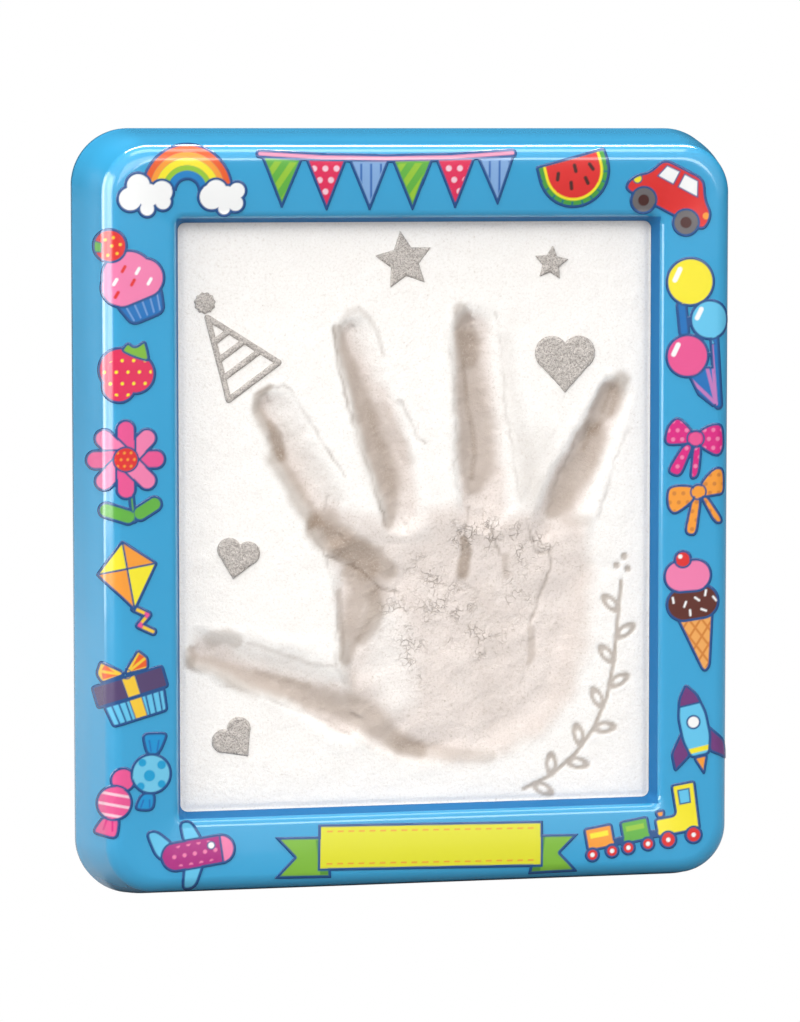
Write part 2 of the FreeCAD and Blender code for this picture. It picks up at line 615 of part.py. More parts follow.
sticker_shares = {
    "rainbow": ("corner", (-0.359, 0.932), 0, [
        ("arch", 0.05, -0.10, 0.53, 0.12),
        ("disc", -0.60, -0.19, 0.16), ("disc", -0.51, -0.04, 0.16), ("disc", -0.24, -0.11, 0.15),
        ("disc", -0.23, -0.22, 0.12), ("disc", -0.41, -0.30, 0.11), ("disc", -0.40, -0.15, 0.16),
        ("disc", 0.33, -0.17, 0.17), ("disc", 0.38, -0.10, 0.15), ("disc", 0.62, -0.10, 0.12),
        ("disc", 0.60, -0.24, 0.12), ("disc", 0.47, -0.30, 0.10), ("disc", 0.50, -0.16, 0.14)]),
    "bunting": ("top", (-0.054, 0.587), 0, [
        ("bar", -1.47, 0.295, -0.75, 0.255, 0.05), ("bar", -0.75, 0.255, 0.00, 0.242, 0.05),
        ("bar", 0.00, 0.242, 0.75, 0.255, 0.05), ("bar", 0.75, 0.255, 1.47, 0.300, 0.05),
        ("poly", (-1.46, 0.28), (-0.97, 0.25), (-1.22, -0.33)),
        ("poly", (-0.95, 0.25), (-0.46, 0.24), (-0.70, -0.36)),
        ("poly", (-0.45, 0.24), (0.04, 0.24), (-0.20, -0.36)),
        ("poly", (0.05, 0.24), (0.54, 0.25), (0.30, -0.36)),
        ("poly", (0.55, 0.25), (1.03, 0.26), (0.80, -0.34)),
        ("poly", (1.04, 0.26), (1.49, 0.28), (1.30, -0.30))]),
    "melon": ("top", (0.232, 0.542), 14.6, [
        ("poly", (-0.43, 0.22), (0.43, 0.22), (0.43, 0.06), (-0.43, 0.06)), ("bowl", 0.00, 0.06, 0.43)]),
    "car": ("corner", (0.379, 0.911), -27.2, [
        ("poly", (-0.47, 0.06), (-0.35, 0.15), (-0.27, 0.37), (0.28, 0.38), (0.40, 0.17), (0.56, 0.05),
         (0.56, -0.18), (-0.52, -0.18), (-0.54, -0.06)),
        ("disc", -0.256, -0.174, 0.165), ("disc", 0.314, -0.174, 0.165)]),
    "balloons": ("right", (0.735, 0.609), 0, [
        ("disc", -0.07, 0.58, 0.29), ("disc", 0.16, 0.14, 0.24), ("disc", -0.10, -0.28, 0.26),
        ("bar", -0.17, 0.30, -0.14, 0.00, 0.07), ("bar", 0.21, 0.00, 0.27, -0.85, 0.06),
        ("poly", (-0.10, -0.50), (0.10, -0.40), (0.24, -0.40), (0.30, -0.86), (0.20, -0.88), (0.02, -0.74))]),
    "bow_dotted": ("right", (0.583, 0.609), 0, [
        ("poly", (-0.38, 0.02), (-0.36, 0.24), (-0.24, 0.38), (-0.14, 0.34), (0.00, 0.18), (0.00, 0.04)),
        ("poly", (0.00, 0.20), (0.20, 0.30), (0.34, 0.28), (0.36, -0.02), (0.26, -0.13), (0.00, 0.03)),
        ("poly", (-0.14, 0.08), (-0.36, -0.28), (-0.17, -0.36), (0.00, 0.05)),
        ("poly", (-0.04, 0.06), (-0.08, -0.38), (0.05, -0.35), (0.09, 0.06)), ("disc", 0.00, 0.11, 0.11)]),
    "bow_plain": ("right", (0.512, 0.594), 0, [
        ("poly", (0.00, 0.02), (-0.26, -0.17), (-0.36, -0.06), (-0.36, 0.17), (-0.24, 0.22), (0.00, 0.20)),
        ("poly", (0.02, 0.22), (0.20, 0.42), (0.34, 0.40), (0.35, 0.08), (0.20, 0.06), (0.02, 0.03)),
        ("poly", (-0.06, 0.10), (-0.16, -0.38), (0.01, -0.41), (0.07, 0.08)),
        ("poly", (0.02, 0.08), (0.22, -0.28), (0.35, -0.24), (0.12, 0.10)), ("disc", 0.02, 0.12, 0.10)]),
    "ice_cream": ("right", (0.370, 0.640), 0, [
        ("disc", -0.11, 0.60, 0.11), ("bar", -0.14, 0.40, 0.04, 0.41, 0.20), ("bar", -0.10, 0.07, 0.12, 0.10, 0.21),
        ("poly", (-0.20, -0.06), (0.26, -0.01), (0.23, -0.66), (0.18, -0.73), (0.12, -0.72))]),
    "rocket": ("right", (0.213, 0.602), 12, [
        ("poly", (0.00, 0.56), (0.12, 0.40), (0.18, 0.16), (0.18, -0.12), (0.12, -0.34), (-0.12, -0.34),
         (-0.18, -0.12), (-0.18, 0.16), (-0.12, 0.40)),
        ("poly", (-0.16, 0.02), (-0.34, -0.22), (-0.34, -0.46), (-0.10, -0.30)),
        ("poly", (0.16, 0.02), (0.34, -0.22), (0.34, -0.46), (0.10, -0.30)),
        ("poly", (-0.10, -0.32), (0.00, -0.58), (0.10, -0.32))]),
    "train": ("corner", (0.340, 0.084), 9, [
        ("poly", (0.42, 0.44), (0.72, 0.44), (0.70, -0.16), (0.16, -0.16), (0.16, 0.08), (0.42, 0.08)),
        ("poly", (0.20, 0.06), (0.18, 0.17), (0.32, 0.17), (0.30, 0.06)),
        ("poly", (-0.26, 0.13), (0.10, 0.13), (0.10, -0.16), (-0.26, -0.16)),
        ("poly", (-0.70, 0.13), (-0.34, 0.13), (-0.34, -0.16), (-0.70, -0.16)),
        ("bar", -0.60, -0.10, 0.40, -0.10, 0.05),
        ("disc", 0.29, -0.20, 0.11), ("disc", 0.60, -0.20, 0.11), ("disc", -0.20, -0.20, 0.09),
        ("disc", 0.04, -0.20, 0.09), ("disc", -0.64, -0.20, 0.09), ("disc", -0.40, -0.20, 0.09)]),
    "banner": ("bottom", (0.013, 0.613), -1, [
        ("poly", (-1.33, 0.28), (1.33, 0.28), (1.33, -0.26), (-1.33, -0.26)),
        ("poly", (-1.84, 0.14), (-1.20, 0.14), (-1.17, -0.34), (-1.84, -0.34), (-1.61, -0.10)),
        ("poly", (1.76, 0.12), (1.20, 0.12), (1.17, -0.34), (1.76, -0.32), (1.54, -0.10))]),
    "plane": ("corner", (-0.346, 0.071), 8, [
        ("bar", -0.22, 0.00, 0.30, 0.00, 0.18),
        ("poly", (-0.12, 0.10), (0.14, 0.10), (0.02, 0.40), (-0.14, 0.40)),
        ("poly", (-0.14, -0.06), (0.14, -0.06), (-0.04, -0.40), (-0.22, -0.40)),
        ("poly", (-0.30, -0.08), (-0.20, 0.14), (-0.40, 0.36), (-0.54, 0.34), (-0.46, 0.02))]),
    "sweets": ("left", (0.160, 0.447), 0, [
        ("disc", 0.24, 0.14, 0.24), ("poly", (0.12, 0.62), (0.46, 0.62), (0.34, 0.34), (0.18, 0.34)),
        ("poly", (0.12, -0.06), (0.30, -0.06), (0.28, -0.30), (0.02, -0.28)),
        ("disc", -0.18, -0.18, 0.21), ("disc", -0.08, 0.08, 0.15),
        ("poly", (-0.30, -0.30), (-0.10, -0.34), (-0.14, -0.62), (-0.46, -0.52))]),
    "gift": ("left", (0.289, 0.455), 16, [
        ("poly", (-0.43, 0.14), (0.43, 0.14), (0.43, -0.14), (-0.43, -0.14)),
        ("poly", (-0.36, -0.12), (0.38, -0.12), (0.34, -0.40), (-0.32, -0.40)),
        ("poly", (-0.02, 0.14), (-0.30, 0.12), (-0.34, 0.26), (-0.24, 0.40), (-0.02, 0.20)),
        ("poly", (-0.02, 0.14), (0.26, 0.12), (0.30, 0.26), (0.20, 0.40), (-0.02, 0.20))]),
    "kite": ("left", (0.416, 0.486), 10, [
        ("poly", (-0.02, 0.56), (0.34, 0.22), (-0.02, -0.28), (-0.38, 0.22)),
        ("bar", -0.02, -0.24, 0.12, -0.34, 0.05), ("bar", 0.12, -0.34, 0.00, -0.44, 0.05),
        ("bar", 0.00, -0.44, 0.14, -0.54, 0.05)]),
    "daisy": ("left", (0.563, 0.440), 0, [
        ("petals", -0.02, 0.15, 0.34, 0.12), ("disc", -0.02, 0.15, 0.20), ("bar", 0.02, -0.10, 0.07, -0.54, 0.04),
        ("bar", -0.24, -0.42, 0.00, -0.50, 0.10), ("bar", 0.14, -0.46, 0.30, -0.36, 0.10)]),
    "strawberry": ("left", (0.691, 0.447), 0, [
        ("disc", -0.08, 0.03, 0.26), ("disc", 0.08, -0.02, 0.24), ("disc", -0.10, -0.16, 0.20),
        ("poly", (-0.10, 0.24), (0.00, 0.36), (0.08, 0.28), (0.20, 0.38), (0.24, 0.24), (0.26, 0.10), (0.06, 0.16))]),
    "cupcake": ("left", (0.810, 0.470), 22, [
        ("disc", 0.00, 0.02, 0.31), ("bar", -0.12, -0.06, 0.16, -0.06, 0.24),
        ("poly", (-0.28, -0.20), (0.32, -0.20), (0.24, -0.52), (-0.18, -0.52)),
        ("disc", -0.06, 0.42, 0.20)]),
}

petal_count = 8

# Length that one share stands for along a side, as a share of that side
width_unit_share = 0.1297
height_unit_share = 0.1125


def turned(x, z, degrees):
    """Point turned anticlockwise about the sticker's centre."""
    angle = math.radians(degrees)
    return x * math.cos(angle) - z * math.sin(angle), x * math.sin(angle) + z * math.cos(angle)


def sticker_place(member, place_share):
    """Centre of a sticker, and the lengths that its shares across and up the frame stand for."""
    along, inset = place_share
    width_unit = width_unit_share * frame_width
    height_unit = height_unit_share * frame_height
    if member == "top":
        return (along * frame_width, frame_height - inset * member_width), (width_unit, member_width)
    if member == "bottom":
        return (along * frame_width, inset * member_width), (width_unit, member_width)
    if member == "corner":
        return (along * frame_width, inset * frame_height), (width_unit, height_unit)
    side = -1 if member == "left" else 1
    return (side * (frame_width / 2 - inset * member_width), along * frame_height), (member_width, height_unit)


def form_prisms(form, centre, units, degrees):
    """Straight prisms of one outline form, long enough to pass through the frame's face."""
    front = -sticker_thickness - cut_over
    back = sticker_wrap + cut_over
    round_unit = math.sqrt(units[0] * units[1])

    def at(x_share, z_share):
        x, z = turned(x_share, z_share, degrees)
        return centre[0] + x * units[0], centre[1] + z * units[1]

    kind, values = form[0], form[1:]
    if kind == "disc":
        x, z = at(values[0], values[1])
        return [rod(x, z, values[2] * round_unit, front, back)]
    if kind == "bowl":
        x, z = at(values[0], values[1])
        reach = values[2] * round_unit
        spread = reach + cut_over
        upper = [turned(dx, dz, degrees) for dx, dz in ((-spread, 0), (spread, 0), (spread, spread), (-spread, spread))]
        above = prism([(x + dx, z + dz) for dx, dz in upper], front - cut_over, back + cut_over)
        return [rod(x, z, reach, front, back).cut(above)]
    if kind == "arch":
        x, z = at(values[0], values[1])
        ring = rod(x, z, values[2] * round_unit, front, back)
        ring = ring.cut(rod(x, z, values[3] * round_unit, front - cut_over, back + cut_over))
        reach = values[2] * round_unit + cut_over
        return [ring.cut(box(x - reach, x + reach, front - cut_over, back + cut_over, z - reach, z))]
    if kind == "petals":
        prisms = []
        for index in range(petal_count):
            x, z = turned(values[2], 0, index * 360 / petal_count)
            bar_form = ("bar", values[0], values[1], values[0] + x, values[1] + z, values[3])
            prisms += form_prisms(bar_form, centre, units, degrees)
        return prisms
    if kind == "bar":
        x1, z1 = at(values[0], values[1])
        x2, z2 = at(values[2], values[3])
        radius = values[4] * round_unit
        run = math.hypot(x2 - x1, z2 - z1)
        side_x = -(z2 - z1) / run * radius
        side_z = (x2 - x1) / run * radius
        web = prism([(x1 + side_x, z1 + side_z), (x1 - side_x, z1 - side_z),
                     (x2 - side_x, z2 - side_z), (x2 + side_x, z2 + side_z)], front, back)
        return [rod(x1, z1, radius, front, back), rod(x2, z2, radius, front, back), web]
    return [prism([at(x, z) for x, z in values], front, back)]


def sticker_skin():
    """Layer of sticker thickness over the frame's face and round onto its sides."""
    skin = face_block(sticker_thickness).cut(face_block(0))
    reach = frame_width / 2 + cut_over
    front = -sticker_thickness - cut_over
    return skin.common(box(-reach, reach, front, sticker_wrap, -cut_over, frame_height + cut_over))


def sticker(skin, member, place_share, degrees, forms):
    """Sticker that follows the frame's face inside its outline."""
    centre, units = sticker_place(member, place_share)
    prisms = []
    for form in forms:
        prisms += form_prisms(form, centre, units, degrees)
    return skin.common(fused(prisms))


# Glitter shapes, placed on the clay

glitter_shares = {
    "glitter_star_large": ("star", (-0.027, 0.425), 0.0556, 8),
    "glitter_star_small": ("star", (0.278, 0.419), 0.0333, -6),
    "glitter_heart_right": ("heart", (0.308, 0.253), 0.0571, 0),
    "glitter_heart_left": ("heart", (-0.370, -0.067), 0.0397, -12),
    "glitter_heart_low": ("heart", (-0.375, -0.372), 0.0397, 38),
    "glitter_pompom": ("pompom", (-0.362, 0.261), 0.0698, 0),
    "glitter_hat": ("hat", (-0.362, 0.261), 0.0698, 0),
}

star_points = 5
star_waist_share = 0.45
heart_spread_share = 0.94
heart_lift_share = 0.7
heart_base_shares = ((-0.92, 0.08), (0.0, -0.95), (0.92, 0.08), (0.0, 0.55))
hat_corner_shares = ((-0.864, 1.136), (1.0, -0.045), (-0.318, -1.0))
hat_bar_share = 0.0056
hat_stripe_shares = (0.30, 0.52, 0.74)

# Pompom over the hat, as place and radius in shares of the hat's size
pompom_place_share = (-0.928, 1.515)
pompom_share = 0.284


def glitter_prism(points):
    return prism(points, clay_plane - glitter_thickness, clay_plane)


def star(x, z, radius, degrees):
    points = []
    for index in range(2 * star_points):
        reach = radius if index % 2 == 0 else radius * star_waist_share
        angle = math.radians(90 + degrees + index * 180 / star_points)
        points.append((x + reach * math.cos(angle), z + reach * math.sin(angle)))
    return glitter_prism(points)


def heart(x, z, radius, degrees):
    """Two lobes over a pointed base."""
    lobe = radius / 2
    front = clay_plane - glitter_thickness
    solids = []
    for side in (-1, 1):
        lobe_x, lobe_z = turned(side * lobe * heart_spread_share, lobe * heart_lift_share, degrees)
        solids.append(rod(x + lobe_x, z + lobe_z, lobe, front, clay_plane))
    points = [turned(bx * radius, bz * radius, degrees) for bx, bz in heart_base_shares]
    solids.append(glitter_prism([(x + px, z + pz) for px, pz in points]))
    return fused(solids)


def bar_between(first, last, half):
    run = math.hypot(last[0] - first[0], last[1] - first[1])
    side_x = -(last[1] - first[1]) / run * half
    side_z = (last[0] - first[0]) / run * half
    front = clay_plane - glitter_thickness
    web = glitter_prism([(first[0] + side_x, first[1] + side_z), (first[0] - side_x, first[1] - side_z),
                         (last[0] - side_x, last[1] - side_z), (last[0] + side_x, last[1] + side_z)])
    return [web, rod(first[0], first[1], half, front, clay_plane), rod(last[0], last[1], half, front, clay_plane)]


def hat(x, z, radius):
    """Party hat drawn in strips: three edges and stripes across it."""
    corners = [(x + cx * radius, z + cz * radius) for cx, cz in hat_corner_shares]
    peak, right, left = corners
    half = hat_bar_share * window_mean
    solids = bar_between(peak, right, half) + bar_between(right, left, half) + bar_between(left, peak, half)
    for share in hat_stripe_shares:
        first = [peak[i] + share * (left[i] - peak[i]) for i in (0, 1)]
        last = [peak[i] + share * (right[i] - peak[i]) for i in (0, 1)]
        solids += bar_between(first, last, half)
    return fused(solids)


def glitter(kind, place_share, size_share, degrees):
    x, z = clay_place(place_share)
    radius = size_share * window_mean
    if kind == "star":
        return star(x, z, radius, degrees)
    if kind == "heart":
        return heart(x, z, radius, degrees)
    if kind == "hat":
        return hat(x, z, radius)
    pompom_x = x + pompom_place_share[0] * radius
    pompom_z = z + pompom_place_share[1] * radius
    return rod(pompom_x, pompom_z, pompom_share * radius, clay_plane - glitter_thickness, clay_plane)


# Write every piece

save(front_shell(), "front_shell")
save(rear_ring(), "rear_ring")
save(Part.makeCompound([ring_screw(x, z, True) for x, z in screw_places()]), "ring_screws")
save(clay_tray(), "clay_tray")
save(clay_slab(), "clay_slab")
save(back_cover(), "back_cover")
save(easel_leg(), "easel_leg")
save(hinge_bore(hinge_pin_radius), "leg_hinge_pin")
for number, (button_x, button_z) in enumerate(button_places()):
    save(turn_button(button_x, button_z), "turn_button_" + str(number + 1))
save(Part.makeCompound([pivot_screw(x, z) for x, z in button_places()]), "button_screws")
save(sawtooth_hanger(), "sawtooth_hanger")
save(Part.makeCompound([hanger_screw(x, z) for x, z in hanger_screw_places()]), "hanger_screws")

face_skin = sticker_skin()
for sticker_name, (side, place, turn, forms) in sticker_shares.items():
    save(sticker(face_skin, side, place, turn, forms), "sticker_" + sticker_name)

for glitter_name, (kind, place, size, turn) in glitter_shares.items():
    save(glitter(kind, place, size, turn), glitter_name)
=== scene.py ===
import math
import bpy
import numpy as np
from mathutils import Matrix, Vector


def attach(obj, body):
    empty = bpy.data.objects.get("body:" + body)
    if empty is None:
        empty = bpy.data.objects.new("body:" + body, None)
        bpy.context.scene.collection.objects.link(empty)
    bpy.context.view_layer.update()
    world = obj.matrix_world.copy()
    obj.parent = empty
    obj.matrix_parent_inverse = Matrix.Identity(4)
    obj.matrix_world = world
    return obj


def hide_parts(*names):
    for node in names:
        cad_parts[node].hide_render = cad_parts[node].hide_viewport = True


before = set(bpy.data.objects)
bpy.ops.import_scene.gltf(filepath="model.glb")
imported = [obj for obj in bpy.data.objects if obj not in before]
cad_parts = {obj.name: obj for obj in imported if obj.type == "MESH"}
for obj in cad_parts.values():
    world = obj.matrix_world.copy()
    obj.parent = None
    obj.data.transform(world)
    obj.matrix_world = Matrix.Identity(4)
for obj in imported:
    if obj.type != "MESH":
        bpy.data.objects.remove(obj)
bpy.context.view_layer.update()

# Sizes shared with the solid model, in millimetres: x to the right, y from the front crest to the back, z up
WIDTH = 187.4
HEIGHT = 216.0
DEPTH = 33.0
MEMBER = 24.3
CORNER = 16.0
WINDOW_CORNER = 3.0
WALL = 2.2
CLAY_PLANE = 7.6
CLAY_THICKNESS = 9.0
CLAY_INSET = 22.45
CLAY_CORNER = 5.0
COLLAR_INSET = 26.05
STICKER = 0.25
GLITTER = 0.8
ORIGIN_DEPTH = (DEPTH - STICKER) / 2
MIDDLE = HEIGHT / 2

# A distance beyond all others, a number that stands for zero where one divides, and the cells along the
# lattice of random values before it repeats
FAR_AWAY = 1e9
NEARLY_NONE = 1e-12
LATTICE = 64


# Meshes

def in_frame(points):
    """Millimetres of the drawing to metres of the frame, with y moved to put the origin under the middle."""
    moved = np.asarray(points, dtype=float).copy()
    moved[..., 1] -= ORIGIN_DEPTH
    return moved * 0.001


def piece(name, points, face_groups, finishes, stands_for):
    """Smooth object on the frame's body, from points in millimetres and arrays of faces, for one CAD node."""
    mesh = bpy.data.meshes.new(name)
    faces = [face.tolist() for group in face_groups for face in group]
    mesh.from_pydata(in_frame(points).reshape(-1, 3).tolist(), [], faces)
    mesh.polygons.foreach_set("use_smooth", np.full(len(mesh.polygons), True))
    for finish in finishes:
        mesh.materials.append(finish.material)
    mesh.update()
    obj = bpy.data.objects.new(name, mesh)
    bpy.context.scene.collection.objects.link(obj)
    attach(obj, "frame")
    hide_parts(stands_for)
    return obj


def paint_points(obj, name, colours):
    """Colour attribute on the points of a mesh, from an array of red, green and blue."""
    rgba = np.ones((len(obj.data.vertices), 4))
    rgba[:, :3] = colours
    layer = obj.data.color_attributes.new(name, "FLOAT_COLOR", "POINT")
    layer.data.foreach_set("color", rgba.ravel())


def grid_faces(rows, columns, close_rows=False, close_columns=False):
    """Four-cornered faces between neighbouring rows and columns of a grid of points."""
    i = np.arange(rows if close_rows else rows - 1)[:, None]
    j = np.arange(columns if close_columns else columns - 1)[None, :]
    below = (i + 1) % rows
    right = (j + 1) % columns
    corners = [i * columns + j, i * columns + right, below * columns + right, below * columns + j]
    return np.stack([np.broadcast_to(c, np.broadcast(i, j).shape) for c in corners], -1).reshape(-1, 4)


# Shader maths

class Signal:
    """One number or colour on its way to a shader; arithmetic on it adds the Math nodes."""

    def __init__(self, finish, socket):
        self.finish = finish
        self.socket = socket

    def _with(self, operation, first, second):
        return self.finish.node("ShaderNodeMath", {"operation": operation}, {0: first, 1: second})

    def __add__(self, other):
        return self._with("ADD", self, other)

    def __sub__(self, other):
        return self._with("SUBTRACT", self, other)

    def __rsub__(self, other):
        return self._with("SUBTRACT", other, self)

    def __mul__(self, other):
        return self._with("MULTIPLY", self, other)

    def __pow__(self, other):
        return self._with("POWER", self, other)

    def above(self, edge):
        """1 where the value is over an edge, 0 elsewhere."""
        return self._with("GREATER_THAN", self, edge)

    __radd__ = __add__
    __rmul__ = __mul__


class Finish:
    """Material put together in Python around one principled shader."""

    def __init__(self, name, colour, roughness, **constants):
        self.material = bpy.data.materials.new(name)
        self.material.use_nodes = True
        self.tree = self.material.node_tree
        self.shader = self.tree.nodes["Principled BSDF"]
        self.feed("Base Color", linear(colour))
        self.feed("Roughness", roughness)
        for socket, value in constants.items():
            self.feed(socket.replace("_", " "), value)

    def feed(self, socket, value):
        """Puts a constant, or the end of a chain of nodes, into one of the shader's sockets."""
        place = self.shader.inputs[socket]
        if isinstance(value, Signal):
            self.tree.links.new(value.socket, place)
        else:
            place.default_value = value

    def node(self, kind, settings, inputs, output=0):
        """Node of a type, with its settings made first and then its sockets filled or linked."""
        made = self.tree.nodes.new(kind)
        for setting, value in settings.items():
            setattr(made, setting, value)
        for socket, value in inputs.items():
            if isinstance(value, Signal):
                self.tree.links.new(value.socket, made.inputs[socket])
            else:
                made.inputs[socket].default_value = value
        return Signal(self, made.outputs[output])

    def place(self):
        """Object coordinates, in metres."""
        return self.node("ShaderNodeTexCoord", {}, {}, "Object")

    def noise(self, per_metre, detail=2.0, roughness=0.5, at=None):
        """Cloudy noise from 0 to 1 with so many lumps to the metre."""
        where = at or self.place()
        return self.node("ShaderNodeTexNoise", {}, {"Vector": where, "Scale": per_metre, "Detail": detail,
                                                    "Roughness": roughness})

    def stretched(self, x, y, z):
        """Object coordinates with each direction scaled, for streaks."""
        return self.node("ShaderNodeMapping", {}, {"Vector": self.place(), "Scale": (x, y, z)})

    def channel(self, colour, name="Red"):
        """One channel of a colour."""
        return self.node("ShaderNodeSeparateColor", {}, {"Color": colour}, name)

    def painted(self, name):
        """Colour attribute painted on the points."""
        return self.node("ShaderNodeAttribute", {"attribute_name": name}, {}, "Color")

    def fade(self, value, none_at, full_at):
        """0 at one value and 1 at another, straight between them and held beyond."""
        return self.node("ShaderNodeMapRange", {}, {"Value": value, "From Min": none_at, "From Max": full_at,
                                                    "To Min": 0.0, "To Max": 1.0})

    def mix(self, factor, first, second):
        """Colour between two colours."""
        colours = [linear(c) if isinstance(c, tuple) else c for c in (first, second)]
        return self.node("ShaderNodeMix", {"data_type": "RGBA"},
                         {"Factor": factor, 6: colours[0], 7: colours[1]}, 2)

    def bump(self, height, distance):
        """Relief of a height signal, its full range being a distance in metres."""
        self.feed("Normal", self.node("ShaderNodeBump", {}, {"Height": height, "Distance": distance}))


def linear(colour):
    """Colour given in screen values from 0 to 255, as linear light with alpha 1."""
    screen = np.asarray(colour, dtype=float) / 255
    light = np.where(screen <= 0.04045, screen / 12.92, ((screen + 0.055) / 1.055) ** 2.4)
    return (*light.tolist(), 1.0)


def dress(finish, *names):
    """Gives CAD nodes a finish through their own material slots."""
    for name in names:
        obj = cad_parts[name]
        for place in obj.material_slots:
            place.link = "OBJECT"
            place.material = finish.material
        if not obj.material_slots:
            obj.data.materials.append(finish.material)


# Front shell: one closed profile carried round rounded rectangles

# The profile's sizes across the members, from the outside in, and its depths behind the crest
SIDE_DRAFT = 5.1
SIDE_CROWN = 0.288
BACK_LAND = 3.0
WITHIN_SOLID = 0.02
ROUND_ACROSS = 4.8
ROUND_DEEP = 6.0
CREST = 9.0
FACE_FALL = 1.15
LIP_START = 22.6
# The lip's curve: insets of its corner and its end, and how far they lie behind its start
LIP_CORNER = (MEMBER + 0.05, 0.28)
LIP_END = (MEMBER + 0.62, 2.3)
# Past this inset, and in front of this depth, the window's wall is etched; painted shade deepens its blue
# over two insets
ETCHED_INSET = MEMBER + 0.45
ETCHED_DEPTH = CLAY_PLANE + 0.5
RECESS_SHADE_INSETS = (MEMBER + 0.25, MEMBER + 0.7)
# Inset and depth at each turn of the hollow behind the face, from the window's wall to the back edge
HOLLOW = [(23.9, CLAY_PLANE), (22.3, 3.6), (10.6, 2.4), (7.0, 4.6), (5.6, 11.0), (3.3, 26.0), (WALL, 26.4),
          (WALL, DEPTH - 0.2), (1.9, DEPTH), (0.4, DEPTH)]


def outer_profile():
    """Inset and depth from the back edge to the lip.

    A straight land, then a drafted side swollen by a sine, then part of an ellipse up to the crest, and a
    face that falls with a power of the way to the lip. It stays a little within the solid's sides.
    """
    leaning = DEPTH - BACK_LAND
    first = math.atan(SIDE_DRAFT / leaning * ROUND_DEEP / ROUND_ACROSS)
    turn = np.linspace(first, math.pi / 2, 44)
    rounding = np.column_stack([CREST - ROUND_ACROSS * np.cos(turn), ROUND_DEEP * (1 - np.sin(turn))])
    t = np.linspace(0, 1, 30)[:-1]
    crown = SIDE_CROWN * np.sin(math.pi * t) ** 1.5
    side = np.column_stack([t * rounding[0, 0] - crown, leaning - t * (leaning - rounding[0, 1])])
    side[:, 0] = np.maximum(side[:, 0], WITHIN_SOLID)
    inset = np.linspace(CREST, LIP_START, 36)[1:]
    fall = FACE_FALL * ((inset - CREST) / (LIP_START - CREST)) ** 1.7
    return np.vstack([[[WITHIN_SOLID, DEPTH - 0.4]], side, rounding, np.column_stack([inset, fall])])


def face_depth(inset):
    """Depth of the outside at an inset, read off the outer profile."""
    profile = outer_profile()
    return np.interp(inset, profile[:, 0], profile[:, 1])


def shell_profile():
    """Closed profile: the outer profile, a lip along a quadratic curve, the window's wall, and the hollow."""
    outer = outer_profile()
    start = outer[-1]
    corner, end = np.array([LIP_CORNER, LIP_END]) + (0, start[1])
    t = np.linspace(0, 1, 16)[1:, None]
    lip = (1 - t) ** 2 * start + 2 * t * (1 - t) * corner + t ** 2 * end
    window = np.linspace(end, (COLLAR_INSET, CLAY_PLANE), 8)[1:]
    return np.vstack([outer, lip, window, HOLLOW])


def rounded_ring(inset, depth, corner_steps=22, side_steps=12):
    """Points round the frame at each inset: straight sides between arcs whose radius falls with the inset."""
    inset = np.asarray(inset, dtype=float)[:, None]
    depth = np.asarray(depth, dtype=float)[:, None]
    radius = CORNER - (CORNER - WINDOW_CORNER) * inset / MEMBER
    half_width = WIDTH / 2 - inset - radius
    half_height = HEIGHT / 2 - inset - radius
    arcs = []
    for quarter, (across, up) in enumerate([(1, -1), (1, 1), (-1, 1), (-1, -1)]):
        angle = (math.pi / 2) * (quarter - 1 + np.linspace(0, 1, corner_steps))[None, :]
        arcs.append((across * half_width + radius * np.cos(angle), up * half_height + radius * np.sin(angle)))
    step = (np.arange(1, side_steps) / side_steps)[None, :]
    points_x, points_z = [], []
    for (x, z), (next_x, next_z) in zip(arcs, arcs[1:] + arcs[:1]):
        points_x += [x, x[:, -1:] + step * (next_x[:, :1] - x[:, -1:])]
        points_z += [z, z[:, -1:] + step * (next_z[:, :1] - z[:, -1:])]
    x = np.hstack(points_x)
    z = np.hstack(points_z)
    return np.stack([x, np.broadcast_to(depth, x.shape), z + MIDDLE], -1)


def front_shell(gloss, etched):
    """Sweep of the profile round the frame, inset by inset: glossy, with painted shade at the lip, and the
    window's wall etched and painted darker as shade.
    """
    profile = shell_profile()
    points = rounded_ring(profile[:, 0], profile[:, 1])
    rows, columns = points.shape[:2]
    faces = grid_faces(rows, columns, close_rows=True, close_columns=True)
    obj = piece("shell_front", points, [faces], (gloss, etched), "front_shell")
    middle = points.reshape(-1, 3)[faces].mean(axis=1)
    inset = np.minimum(WIDTH / 2 - np.abs(middle[:, 0]), HEIGHT / 2 - np.abs(middle[:, 2] - MIDDLE))
    in_window = (inset > ETCHED_INSET) & (middle[:, 1] < ETCHED_DEPTH)
    obj.data.polygons.foreach_set("material_index", in_window.astype(np.int32))
    # Painted shade: the lip's blue deepens towards the window's wall
    recess_shade = ease(*RECESS_SHADE_INSETS, profile[:, 0]) * (profile[:, 1] < ETCHED_DEPTH)
    paint_points(obj, "recess_shade", np.repeat(recess_shade, columns)[:, None] * np.ones(3))


# Fields over x and z, in millimetres

def lumps(x, z, size, seed):
    """Soft random lumps from -1 to 1: random values on a square lattice, joined by S curves between them."""
    table = np.random.default_rng(seed).uniform(-1, 1, (LATTICE, LATTICE))
    u, w = x / size, z / size
    i, j = np.floor(u).astype(int), np.floor(w).astype(int)
    fu, fw = u - i, w - j
    fu, fw = fu * fu * (3 - 2 * fu), fw * fw * (3 - 2 * fw)
    i, j, after_i, after_j = i % LATTICE, j % LATTICE, (i + 1) % LATTICE, (j + 1) % LATTICE
    return (table[i, j] * (1 - fu) * (1 - fw) + table[after_i, j] * fu * (1 - fw)
            + table[i, after_j] * (1 - fu) * fw + table[after_i, after_j] * fu * fw)


def ease(edge_low, edge_high, value):
    """0 below one edge, 1 above the other, with a smooth S between."""
    t = np.clip((value - edge_low) / (edge_high - edge_low), 0, 1)
    return t * t * (3 - 2 * t)


